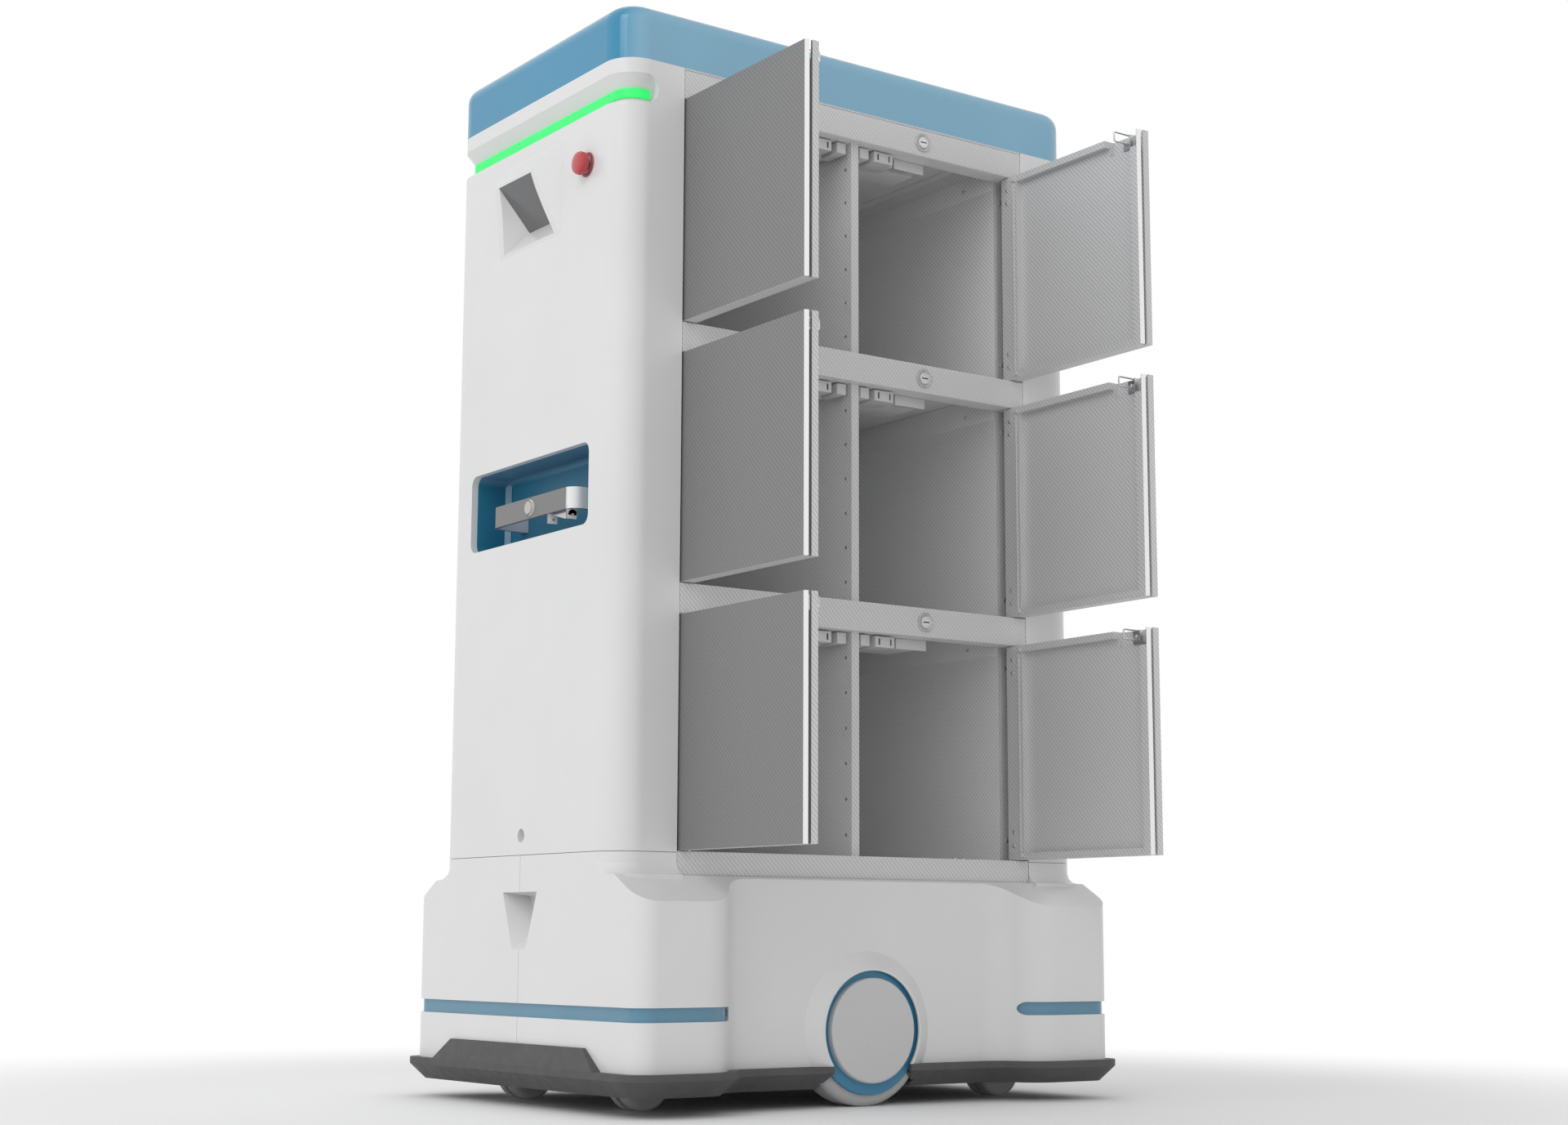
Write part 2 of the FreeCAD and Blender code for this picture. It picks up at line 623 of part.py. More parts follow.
# ---------------------------------------------------------------- casters
def caster_fork():
    """Swivel body at the origin's front left: kingpin, plate, central leg and hood."""
    x, y = CASTER_X, CASTER_Y
    top = DECK_Z - REST_GAP
    pin = cyl(KINGPIN_R, PLATE + 2 * REST_GAP + 4, (x, y, top), (0, 0, 1))
    head = cyl(KINGPIN_R + 4, 4, (x, y, DECK_TOP + REST_GAP), (0, 0, 1))
    race = cyl(CASTER_PLATE_R - 8, 8, (x, y, top - 8), (0, 0, 1))
    plate = cyl(CASTER_PLATE_R, 6, (x, y, top - 13), (0, 0, 1))
    axle_x = x + CASTER_TRAIL
    hood_r = CASTER_R + CASTER_HOOD
    half_leg = CASTER_LEG / 2
    leg = Part.Face(polygon([
        (x - 18, y - half_leg, top - 8), (x + 18, y - half_leg, top - 8),
        (axle_x + 14, y - half_leg, CASTER_R + 20), (axle_x + 9, y - half_leg, CASTER_R - 9),
        (axle_x - 9, y - half_leg, CASTER_R - 9), (axle_x - 30, y - half_leg, CASTER_R + 14),
    ])).extrude(Vector(0, CASTER_LEG, 0))
    half_hood = half_leg + REST_GAP + CASTER_WIDTH + 1
    hood = cyl(hood_r + CASTER_HOOD, 2 * half_hood, (axle_x, y - half_hood, CASTER_R), (0, 1, 0))
    hood = hood.cut(cyl(hood_r, 2 * half_hood, (axle_x, y - half_hood, CASTER_R), (0, 1, 0)))
    hood = hood.common(box(axle_x - 60, axle_x + 24, y - 60, y + 60, CASTER_R + 14, 200))
    bore = cyl(CASTER_AXLE_R + RUNNING_CLEARANCE, 40, (axle_x, y - 20, CASTER_R), (0, 1, 0))
    return fuse([pin, head, race, plate, leg, hood]).cut(bore)


def caster_wheel():
    """Twin treads on one axle."""
    axle_x = CASTER_X + CASTER_TRAIL
    treads = []
    start = CASTER_LEG / 2 + REST_GAP
    for sign in (1, -1):
        tread = cyl(CASTER_R, CASTER_WIDTH, (axle_x, CASTER_Y + sign * start, CASTER_R), (0, sign, 0))
        outer = [e for e in tread.Edges if len(e.Vertexes) == 1
                 and abs(e.CenterOfMass.y - CASTER_Y) > start + CASTER_WIDTH / 2]
        treads.append(tread.makeFillet(8.0, outer))
    axle = cyl(CASTER_AXLE_R, 2 * start + 2, (axle_x, CASTER_Y - start - 1, CASTER_R), (0, 1, 0))
    return fuse(treads + [axle])


def make_casters():
    fork, wheel = caster_fork(), caster_wheel()
    for end, side in ENDS:
        for hand, flip in (("left", False), ("right", True)):
            for name, shape in (("fork", fork), ("wheel", wheel)):
                placed = at_end(mirrored_y(shape) if flip else shape, side)
                save(f"{end}_{hand}_caster_{name}", placed)


# ---------------------------------------------------------------- end covers
def cover_blank():
    """U-shaped cover wall at the front, open towards the cabinet."""
    height = CAP_BOTTOM - BASE_HEIGHT
    wall = prism(body_outline(0, BASE_HEIGHT), height)
    wall = wall.cut(prism(body_outline(-COVER_WALL, BASE_HEIGHT), height))
    return wall.common(box(CABINET_X + SEAM_GAP, END_X, -SIDE_Y, SIDE_Y, 0, TOTAL_HEIGHT))


def groove_backing():
    low, high = GROOVE_BOTTOM - COVER_WALL, GROOVE_TOP + COVER_WALL
    ring = prism(body_outline(0, low), high - low)
    ring = ring.cut(prism(body_outline(-GROOVE_DEPTH - COVER_WALL, low), high - low))
    return ring.common(box(GROOVE_END - COVER_WALL, END_X, -SIDE_Y, SIDE_Y, 0, TOTAL_HEIGHT))


def groove_cutter():
    """Light groove: upright back, flat floor and a sloping upper lip."""
    lower = prism(body_outline(-GROOVE_DEPTH, GROOVE_BOTTOM), LIGHT_TOP - GROOVE_BOTTOM)
    upper = loft([body_outline(-GROOVE_DEPTH, LIGHT_TOP), body_outline(0, GROOVE_TOP)])
    core = lower.fuse(upper)
    radius = (GROOVE_TOP - GROOVE_BOTTOM) / 2
    middle = GROOVE_BOTTOM + radius
    ends = cyl(radius, 4 * SIDE_Y, (GROOVE_END + radius, -2 * SIDE_Y, middle), (0, 1, 0))
    reach = box(GROOVE_END + radius, 2 * END_X, -2 * SIDE_Y, 2 * SIDE_Y, GROOVE_BOTTOM, GROOVE_TOP)
    return fuse([ends, reach]).cut(core)


def tilted(shape):
    """Places a shape from the camera window's own axes: +X out of the glass, +Z up the glass."""
    out = Vector((END_X + CAMERA_PROUD + END_X - CAMERA_SUNK) / 2, CAMERA_Y, (CAMERA_TOP + CAMERA_BOTTOM) / 2)
    angle = math.degrees(math.atan2(CAMERA_PROUD + CAMERA_SUNK, CAMERA_TOP - CAMERA_BOTTOM))
    placed = shape.copy()
    placed.Placement = FreeCAD.Placement(out, FreeCAD.Rotation(Vector(0, 1, 0), angle))
    return placed


def glass_length():
    return math.hypot(CAMERA_PROUD + CAMERA_SUNK, CAMERA_TOP - CAMERA_BOTTOM)


def visor_body():
    """Brow that stands out over the camera, with the block that holds the glass behind it."""
    low, high = VISOR_LOW, VISOR_HIGH
    left, right = CAMERA_Y + VISOR_HALF, CAMERA_Y - VISOR_HALF
    brow = CAMERA_WIDTH / 2 + VISOR_RIM
    tip_x, tip_z = END_X + CAMERA_PROUD + 1, CAMERA_TOP + 3
    corners = {
        "top_left": (END_X, left, high), "top_right": (END_X, right, high),
        "low_left": (END_X, left, low), "low_right": (END_X, right, low),
        "tip_left": (tip_x, CAMERA_Y + brow, tip_z), "tip_right": (tip_x, CAMERA_Y - brow, tip_z),
    }
    faces = (
        ("top_left", "top_right", "tip_right", "tip_left"), ("top_left", "tip_left", "low_left"),
        ("top_right", "low_right", "tip_right"), ("tip_left", "tip_right", "low_right", "low_left"),
        ("top_left", "low_left", "low_right", "top_right"),
    )
    shell = Part.makeShell([Part.Face(polygon([corners[c] for c in face])) for face in faces])
    brow_solid = Part.makeSolid(shell)
    block = box(END_X - CAMERA_SUNK - 14, END_X, right + 8, left - 8, low + 6, high - 6)
    return brow_solid, block


def visor_cutter():
    half = CAMERA_WIDTH / 2
    flare = VISOR_HALF - VISOR_RIM - 4
    out_x, in_x = END_X + CAMERA_PROUD, END_X - CAMERA_SUNK
    glass = [(out_x, CAMERA_Y - half, CAMERA_TOP), (out_x, CAMERA_Y + half, CAMERA_TOP),
             (in_x, CAMERA_Y + half, CAMERA_BOTTOM), (in_x, CAMERA_Y - half, CAMERA_BOTTOM)]
    mouth = [(out_x + 12, CAMERA_Y - half, CAMERA_TOP - 10), (out_x + 12, CAMERA_Y + half, CAMERA_TOP - 10),
             (END_X + 4, CAMERA_Y + flare, VISOR_LOW + 2), (END_X + 4, CAMERA_Y - flare, VISOR_LOW + 2)]
    return frustum(glass, mouth)


def camera_glass(margin):
    half_w, half_l = CAMERA_WIDTH / 2 - margin, glass_length() / 2 - margin
    return tilted(box(-WINDOW_WALL, 0, -half_w, half_w, -half_l, half_l))


def camera_bay():
    half_w = CAMERA_WIDTH / 2 - 6
    return tilted(box(-60, 0, -half_w, half_w, -CAMERA_BAY, CAMERA_BAY))


def recess_block(grow, start_x, length):
    """Rounded oblong of the handle recess, along X."""
    half, radius = RECESS_WIDTH / 2 + grow, RECESS_CORNER_R + grow
    low, high = RECESS_BOTTOM - grow, RECESS_TOP + grow
    block = box(start_x, start_x + length, -half, half, low, high)
    return block.makeFillet(radius, [e for e in block.Edges if e.Length > length - 1e-6
                                     and abs(e.tangentAt(e.FirstParameter).x) > 0.9])


def make_front_cover():
    cover = cover_blank().fuse(groove_backing()).cut(groove_cutter())
    brow, block = visor_body()
    cover = cover.fuse([brow, block])
    cover = cover.cut([visor_cutter(), camera_glass(0), camera_bay()])
    cover = cover.fuse(recess_block(COVER_WALL, END_X - RECESS_LIP, RECESS_LIP))
    cover = cover.cut(recess_block(0, END_X - 2 * RECESS_LIP, 4 * RECESS_LIP))
    port_cup = cyl(PORT_R + COVER_WALL, 16, (END_X - 16, 0, PORT_Z), (1, 0, 0))
    cover = cover.fuse(port_cup).cut(cyl(PORT_R, 30, (END_X - 12, 0, PORT_Z), (1, 0, 0)))
    cover = cover.cut(cyl(ESTOP_SLEEVE_R, 60, (END_X - 30, ESTOP_Y, ESTOP_Z), (1, 0, 0)))
    save("front_cover", cover.removeSplitter())


def make_rear_cover():
    save("rear_cover", mirrored_x(cover_blank()))


def make_cap():
    cap = prism(body_outline(0, CAP_BOTTOM), CAP_HEIGHT)
    top = [e for e in cap.Edges if e.BoundBox.ZMin > TOTAL_HEIGHT - 1]
    cap = cap.makeFillet(CAP_EDGE_R, top)
    room = prism(body_outline(-COVER_WALL, CAP_BOTTOM), CAP_HEIGHT - COVER_WALL)
    ceiling = [e for e in room.Edges if e.BoundBox.ZMin > TOTAL_HEIGHT - COVER_WALL - 1]
    room = room.makeFillet(CAP_EDGE_R - COVER_WALL, ceiling)
    save("top_cap", cap.cut(room))


def make_status_light():
    ring = prism(body_outline(LIGHT_THICKNESS - GROOVE_DEPTH, LIGHT_BOTTOM), LIGHT_TOP - LIGHT_BOTTOM)
    ring = ring.cut(prism(body_outline(-GROOVE_DEPTH, LIGHT_BOTTOM), LIGHT_TOP))
    keep = box(GROOVE_END + 6, END_X, -SIDE_Y, SIDE_Y, 0, TOTAL_HEIGHT)
    save("status_light", ring.common(keep))


def make_camera():
    save("camera_window", camera_glass(0))
    half_w = CAMERA_WIDTH / 2 - 6
    body = tilted(box(-WINDOW_WALL - 24, -WINDOW_WALL, -half_w, half_w, -CAMERA_BAY, CAMERA_BAY))
    save("depth_camera", body)


def make_estop():
    collar = cyl(ESTOP_R - 1, ESTOP_COLLAR, (END_X, ESTOP_Y, ESTOP_Z), (1, 0, 0))
    sleeve = cyl(ESTOP_SLEEVE_R, COVER_WALL + 16, (END_X - COVER_WALL - 16, ESTOP_Y, ESTOP_Z), (1, 0, 0))
    nut = cyl(ESTOP_R, 5, (END_X - COVER_WALL - 5, ESTOP_Y, ESTOP_Z), (1, 0, 0))
    bore = cyl(ESTOP_STEM_R + RUNNING_CLEARANCE, 80, (END_X - 40, ESTOP_Y, ESTOP_Z), (1, 0, 0))
    save("estop_collar", fuse([collar, sleeve, nut]).cut(bore))
    back = END_X + ESTOP_COLLAR + ESTOP_STROKE + 0.5
    front = back + ESTOP_HEAD
    head = cyl(ESTOP_R, ESTOP_HEAD, (back, ESTOP_Y, ESTOP_Z), (1, 0, 0))
    crown = [e for e in head.Edges if len(e.Vertexes) == 1 and e.BoundBox.XMin > front - 1]
    head = head.makeFillet(5.0, crown)
    stem = cyl(ESTOP_STEM_R, back - END_X + 16, (END_X - 16, ESTOP_Y, ESTOP_Z), (1, 0, 0))
    save("estop_button", fuse([head, stem]))


# ---------------------------------------------------------------- handle
def make_tray():
    back_x = END_X - RECESS_DEPTH
    front_x = END_X - RECESS_LIP
    outer = recess_block(TRAY_WALL, back_x - TRAY_WALL, front_x - back_x + TRAY_WALL)
    room = recess_block(0, back_x, front_x - back_x + 1)
    back_edges = [e for e in room.Edges if e.BoundBox.XMax < back_x + 0.1 and e.BoundBox.ZLength > 60]
    room = room.makeFillet(TRAY_CORNER_R, back_edges)
    save("handle_tray", outer.cut(room))


def handle_strip():
    """Flat bar bent back at both ends, with feet on the tray's back."""
    face = END_X - HANDLE_SETBACK
    back_x = END_X - RECESS_DEPTH
    low = HANDLE_Z - HANDLE_HEIGHT / 2
    inner_r = HANDLE_BEND_R - HANDLE_THICKNESS
    end_y = HANDLE_FLAT + HANDLE_BEND_R
    pieces = [box(face - HANDLE_THICKNESS, face, -HANDLE_FLAT, HANDLE_FLAT, low, low + HANDLE_HEIGHT)]
    for sign in (1, -1):
        centre = (face - HANDLE_BEND_R, sign * HANDLE_FLAT, low)
        bend = cyl(HANDLE_BEND_R, HANDLE_HEIGHT, centre, (0, 0, 1))
        bend = bend.cut(cyl(inner_r, HANDLE_HEIGHT, centre, (0, 0, 1)))
        near, far = sorted((sign * HANDLE_FLAT, sign * 300))
        pieces.append(bend.common(box(centre[0], face, near, far, low, low + HANDLE_HEIGHT)))
        near, far = sorted((sign * (end_y - HANDLE_THICKNESS), sign * end_y))
        pieces.append(box(back_x, centre[0], near, far, low, low + HANDLE_HEIGHT))
        near, far = sorted((sign * (end_y - HANDLE_THICKNESS), sign * (end_y + HANDLE_FOLD / 2)))
        pieces.append(box(back_x, back_x + HANDLE_THICKNESS, near, far, low, low + HANDLE_HEIGHT))
    return fuse(pieces)


def make_handle():
    face = END_X - HANDLE_SETBACK
    low = HANDLE_Z - HANDLE_HEIGHT / 2
    bezel = cyl(HANDLE_BUTTON_R, 1.5, (face, 0, HANDLE_Z), (1, 0, 0))
    ears = []
    for y in (LEVER_Y - LEVER_EAR - REST_GAP, LEVER_Y + LEVER_WIDTH + REST_GAP):
        ears.append(box(face - 16, face - 1, y, y + LEVER_EAR, low - 14, low + 4))
    bar = fuse([handle_strip(), bezel] + ears)
    bore_r = HANDLE_PLUNGER_R + RUNNING_CLEARANCE
    bar = bar.cut(cyl(bore_r, 60, (face - 30, 0, HANDLE_Z), (1, 0, 0)))
    pin = (face - 10, LEVER_Y - 20, low - 8)
    bar = bar.cut(cyl(LEVER_PIN_R + RUNNING_CLEARANCE, LEVER_WIDTH + 40, pin, (0, 1, 0)))
    save("handle_bar", bar)
    plunger = cyl(HANDLE_PLUNGER_R, 15, (face - 11, 0, HANDLE_Z), (1, 0, 0))
    save("handle_button", plunger)
    blade = Part.Face(polygon([
        (face - 5, LEVER_Y, low - 3), (face - 5, LEVER_Y, low - 12),
        (face - 30, LEVER_Y, low - 22), (face - 33, LEVER_Y, low - 19), (face - 16, LEVER_Y, low - 3),
    ])).extrude(Vector(0, LEVER_WIDTH, 0))
    reach = LEVER_EAR + REST_GAP
    pivot = cyl(LEVER_PIN_R, LEVER_WIDTH + 2 * reach, (pin[0], LEVER_Y - reach, pin[2]), (0, 1, 0))
    save("handle_lever", fuse([blade, pivot]))


# ---------------------------------------------------------------- cabinet
def rail(low, high):
    """Channel across the cabinet's front, open at its back."""
    back = FRAME_FACE - RAIL_RETURN
    shape = box(-CABINET_X, CABINET_X, back, FRAME_FACE, low, high)
    return shape.cut(box(-CABINET_X - 1, CABINET_X + 1, back - 1, FRAME_FACE - SHEET, low + SHEET, high - SHEET))


def rail_spans():
    """Bottom and top of each front rail, from the lowest up."""
    spans = [(SHELF_TOPS[0] - BOTTOM_RAIL_HEIGHT, SHELF_TOPS[0])]
    spans += [(top - RAIL_HEIGHT, top) for top in SHELF_TOPS[1:]]
    return spans + [(HEAD_BOTTOM, CAP_BOTTOM - SHEET)]


def upright(side, near_y, far_y):
    """Tubular post in one corner of the cabinet."""
    low = SHELF_TOPS[0] - BOTTOM_RAIL_HEIGHT
    high = CAP_BOTTOM - SHEET
    outer = box(JAMB_X, CABINET_X, near_y, far_y, low, high)
    inner = box(JAMB_X + SHEET, CABINET_X - SHEET, near_y + SHEET, far_y - SHEET, low - 1, high + 1)
    return at_end(outer.cut(inner), side)


def hinge_pins():
    """Pins in the rails, above and below every door."""
    pins = []
    for name, floor, ceiling in OPENINGS:
        for sign in (1, -1):
            x = sign * PIVOT_X
            reach = DOOR_GAP + PIVOT_BLOCK
            pins.append(cyl(PIVOT_R, reach, (x, PIVOT_Y, floor), (0, 0, 1)))
            pins.append(cyl(PIVOT_R, reach, (x, PIVOT_Y, ceiling - reach), (0, 0, 1)))
    return pins


def make_frame():
    pieces = [rail(low, high) for low, high in rail_spans()]
    for name, side in ENDS:
        pieces.append(upright(side, JAMB_FACE - PILLAR, JAMB_FACE))
        pieces.append(upright(side, BACK_FACE + SHEET, BACK_FACE + SHEET + PILLAR))
    pieces.append(box(-CABINET_X, CABINET_X, BACK_FACE, SIDE_Y, CAP_BOTTOM - SHEET, CAP_BOTTOM))
    low = SHELF_TOPS[0] - BOTTOM_RAIL_HEIGHT
    for x in (JAMB_X + JAMB_WIDTH / 2, 192.0, 37.0, -37.0, -192.0, -JAMB_X - JAMB_WIDTH / 2):
        pieces.append(cyl(FOOT_R, low - WAIST_TOP, (x, FRAME_FACE - RAIL_RETURN / 2, WAIST_TOP), (0, 0, 1)))
    for x in (JAMB_X + JAMB_WIDTH / 2, -JAMB_X - JAMB_WIDTH / 2):
        pieces.append(cyl(FOOT_R, low - WAIST_TOP, (x, BACK_FACE + PILLAR / 2, WAIST_TOP), (0, 0, 1)))
    frame = pieces[0].multiFuse(pieces[1:] + hinge_pins())
    holes = []
    for z in lock_heights():
        for x in (LOCK_X, -LOCK_X):
            holes.append(cyl(LOCK_BARREL_R, 40, (x, FRAME_FACE - 20, z), (0, 1, 0)))
    save("cabinet_frame", frame.cut(holes).removeSplitter())


def make_walls():
    low = SHELF_TOPS[0] - BOTTOM_RAIL_HEIGHT
    high = CAP_BOTTOM - SHEET
    side = box(JAMB_X - SHEET, JAMB_X, BACK_FACE + SHEET, JAMB_FACE - SHEET, low, high)
    hem = box(JAMB_X - SIDE_HEM, JAMB_X, BACK_FACE + SHEET, JAMB_FACE - SHEET, high - SHEET, high)
    side = side.fuse(hem)
    back = box(-CABINET_X, CABINET_X, BACK_FACE, BACK_FACE + SHEET, low, high)
    save("cabinet_walls", side, mirrored_x(side), back)


def make_shelves():
    """Box-section shelves behind the rails, with slots for the lock cams."""
    shelves = []
    half = JAMB_X - SHEET
    for low, high in rail_spans()[:-1]:
        outer = box(-half, half, BACK_FACE + SHEET, JAMB_FACE, low, high)
        inner = box(-half + SHEET, half - SHEET, BACK_FACE, JAMB_FACE + 1, low + SHEET, high - SHEET)
        shelf = outer.cut(inner)
        if high > SHELF_TOPS[0]:
            slot = box(LOCK_X - CAM_WIDTH, LOCK_X + CAM_LENGTH, JAMB_FACE - CAM_SLOT, JAMB_FACE + 1,
                       low - 1, low + SHEET + 1)
            shelf = shelf.cut([slot, mirrored_x(slot)])
        shelves.append(shelf)
    save("shelves", *shelves)


def make_divider():
    """Hollow partition between the two columns of lockers, with rows of shelf holes."""
    half = POST_WIDTH / 2
    partitions = []
    for name, floor, ceiling in OPENINGS:
        top = CAP_BOTTOM - SHEET if name == "top" else ceiling
        outer = box(-half, half, BACK_FACE + SHEET, POST_FACE, floor, top)
        inner = box(-half + SHEET, half - SHEET, BACK_FACE + 2 * SHEET, POST_FACE - SHEET, floor - 1, top + 1)
        wall = outer.cut(inner)
        if name == "top":
            wall = wall.cut(box(-half - 1, half + 1, FRAME_FACE - RAIL_RETURN, FRAME_FACE, ceiling, top + 1))
        count = int((ceiling - floor) // SHELF_HOLE_PITCH)
        holes = []
        for index in range(count):
            z = floor + SHELF_HOLE_PITCH * (index + 0.6)
            holes.append(cyl(SHELF_HOLE_R, 2 * POST_WIDTH, (-POST_WIDTH, POST_FACE - 14, z), (1, 0, 0)))
        partitions.append(wall.cut(holes))
    save("divider", *partitions)


# ---------------------------------------------------------------- latches and locks
def latch(ceiling):
    """Electric latch hung under a rail on its bracket, left of the divider."""
    half = LATCH_WIDTH / 2
    top = ceiling - SHEET
    body = box(LATCH_X - half + 4, LATCH_X + half + 4, LATCH_FACE - LATCH_DEPTH, LATCH_FACE,
               top - LATCH_HEIGHT, top)
    slot = box(LATCH_X - LATCH_SLOT / 2, LATCH_X + LATCH_SLOT / 2, LATCH_FACE - LATCH_DEPTH + 4, LATCH_FACE + 1,
               top - LATCH_HEIGHT - 1, top - 3)
    bracket = box(LATCH_X - half + 4, LATCH_X + half + 4, JAMB_FACE, LATCH_FACE, top, ceiling)
    arm = box(LATCH_X - half + 4, LATCH_X + half + 30, JAMB_FACE - 60, JAMB_FACE, top, ceiling)
    return fuse([body.cut(slot), bracket, arm])


def make_latches():
    latches = []
    for name, floor, ceiling in OPENINGS:
        latches += [latch(ceiling), mirrored_x(latch(ceiling))]
    save("door_latches", *latches)


def lock_heights():
    """Height of the locks, in the middle of the rail above each opening."""
    return [(low + high) / 2 for low, high in rail_spans()[1:]]


def make_locks():
    housings = []
    for z in lock_heights():
        for x in (LOCK_X, -LOCK_X):
            bezel = cyl(LOCK_R, LOCK_PROUD, (x, FRAME_FACE, z), (0, 1, 0))
            front = [e for e in bezel.Edges if len(e.Vertexes) == 1 and e.BoundBox.YMin > FRAME_FACE + 1]
            bezel = bezel.makeFillet(1.5, front)
            barrel = cyl(LOCK_BARREL_R, RAIL_RETURN, (x, FRAME_FACE - RAIL_RETURN, z), (0, 1, 0))
            bore = cyl(LOCK_PLUG_R + RUNNING_CLEARANCE, 100, (x, FRAME_FACE - 50, z), (0, 1, 0))
            housings.append(fuse([bezel, barrel]).cut(bore))
    save("lock_housings", *housings)
    for (name, floor, ceiling), z in zip(OPENINGS, lock_heights()):
        for side, sign in (("left", 1), ("right", -1)):
            save(f"lock_plug_{side}_{name}", lock_plug(sign, z))


def lock_plug(sign, z):
    """Key plug with a slot in its face and a cam lying sideways behind the rail."""
    back = FRAME_FACE - RAIL_RETURN
    plug = cyl(LOCK_PLUG_R, RAIL_RETURN + LOCK_PROUD - 0.6 + CAM_THICKNESS + REST_GAP,
               (LOCK_X, back - CAM_THICKNESS - REST_GAP, z), (0, 1, 0))
    face = FRAME_FACE + LOCK_PROUD
    key_slot = box(LOCK_X - 4.5, LOCK_X + 4.5, face - 3, face + 1, z - 0.9, z + 0.9)
    cam = box(LOCK_X, LOCK_X + CAM_LENGTH, back - CAM_THICKNESS - REST_GAP, back - REST_GAP,
              z - CAM_WIDTH / 2, z + CAM_WIDTH / 2)
    return at_end(fuse([plug.cut(key_slot), cam]), sign)


# ---------------------------------------------------------------- doors
def closed_door(floor, ceiling, groove_near_face):
    """Left-hand door in its closed place: a folded pan with an edge channel."""
    low, high = floor + DOOR_GAP, ceiling - DOOR_GAP
    panel = box(DOOR_FREE_EDGE, DOOR_HINGE_EDGE, DOOR_BACK, FRAME_FACE, low, high)
    recess = box(DOOR_FREE_EDGE + EDGE_CHANNEL, DOOR_HINGE_EDGE - DOOR_HINGE_FLANGE,
                 DOOR_BACK - 1, DOOR_BACK + DOOR_RECESS, low + DOOR_FLANGE, high - DOOR_FLANGE)
    notch = box(LATCH_NOTCH[0], LATCH_NOTCH[1], DOOR_BACK - 1, FRAME_FACE - DOOR_SKIN,
                high - LATCH_HEIGHT - 2 * SHEET - 4, high + 1)
    bevel_run = EDGE_BEVEL_RUN
    if groove_near_face:
        groove_y = FRAME_FACE - EDGE_BEVEL - EDGE_GROOVE
        bevel = [(DOOR_FREE_EDGE, FRAME_FACE - EDGE_BEVEL, low), (DOOR_FREE_EDGE + bevel_run, FRAME_FACE, low),
                 (DOOR_FREE_EDGE, FRAME_FACE, low)]
    else:
        groove_y = DOOR_BACK + EDGE_BEVEL
        bevel = [(DOOR_FREE_EDGE, DOOR_BACK + EDGE_BEVEL, low), (DOOR_FREE_EDGE + bevel_run, DOOR_BACK, low),
                 (DOOR_FREE_EDGE, DOOR_BACK, low)]
    groove = box(DOOR_FREE_EDGE, DOOR_FREE_EDGE + EDGE_GROOVE_DEPTH, groove_y, groove_y + EDGE_GROOVE,
                 low - 1, high + 1)
    corner = Part.Face(polygon(bevel)).extrude(Vector(0, 0, high - low))
    depth = PIVOT_BLOCK + 1
    bore_r = PIVOT_R + RUNNING_CLEARANCE
    bores = [cyl(bore_r, depth, (PIVOT_X, PIVOT_Y, low), (0, 0, 1)),
             cyl(bore_r, depth, (PIVOT_X, PIVOT_Y, high - depth), (0, 0, 1))]
    return panel.cut([recess, notch, groove, corner] + bores)


def closed_striker(ceiling):
    """Striker loop on its plate, on the inside of the left-hand door."""
    seat = FRAME_FACE - DOOR_SKIN
    top = ceiling - SHEET - 4
    low = ceiling - SHEET - LATCH_HEIGHT + 1
    plate = box(LATCH_X - 16, LATCH_X + 12, seat - SHEET, seat, low - 2, ceiling - DOOR_GAP - 2)
    half = STRIKER_BAR / 2
    loop = box(LATCH_X - half, LATCH_X + half, seat - STRIKER_REACH, seat - SHEET, low, top)
    hole = box(LATCH_X - 5, LATCH_X + 5, seat - STRIKER_REACH + 3, seat - SHEET - 6, low + 3, top - 3)
    return plate.fuse(loop.cut(hole)).removeSplitter()


def opened(shape, side):
    """Turns a closed left-hand shape to the open rest position, mirrored for the right."""
    turned = shape.copy()
    turned.rotate(Vector(PIVOT_X, PIVOT_Y, 0), Vector(0, 0, 1), -90)
    return at_end(turned, side)


def make_doors():
    for name, floor, ceiling in OPENINGS:
        for side, sign in (("left", 1), ("right", -1)):
            panel = closed_door(floor, ceiling, sign == 1)
            save(f"door_{side}_{name}_panel", opened(panel, sign))
            save(f"door_{side}_{name}_striker", opened(closed_striker(ceiling), sign))


make_base()
make_bumper()
make_scanner_windows()
make_scanners()
make_chassis()
make_battery()
make_controller()
make_motors()
make_drive_wheels()
make_casters()
make_front_cover()
make_rear_cover()
make_cap()
make_status_light()
make_camera()
make_estop()
make_tray()
make_handle()
make_frame()
make_walls()
make_shelves()
make_divider()
make_latches()
make_locks()
make_doors()
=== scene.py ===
"""Looks of the delivery robot: materials, small fittings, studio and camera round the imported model."""

import json
import math

import bmesh
import bpy
from mathutils import Matrix, Vector


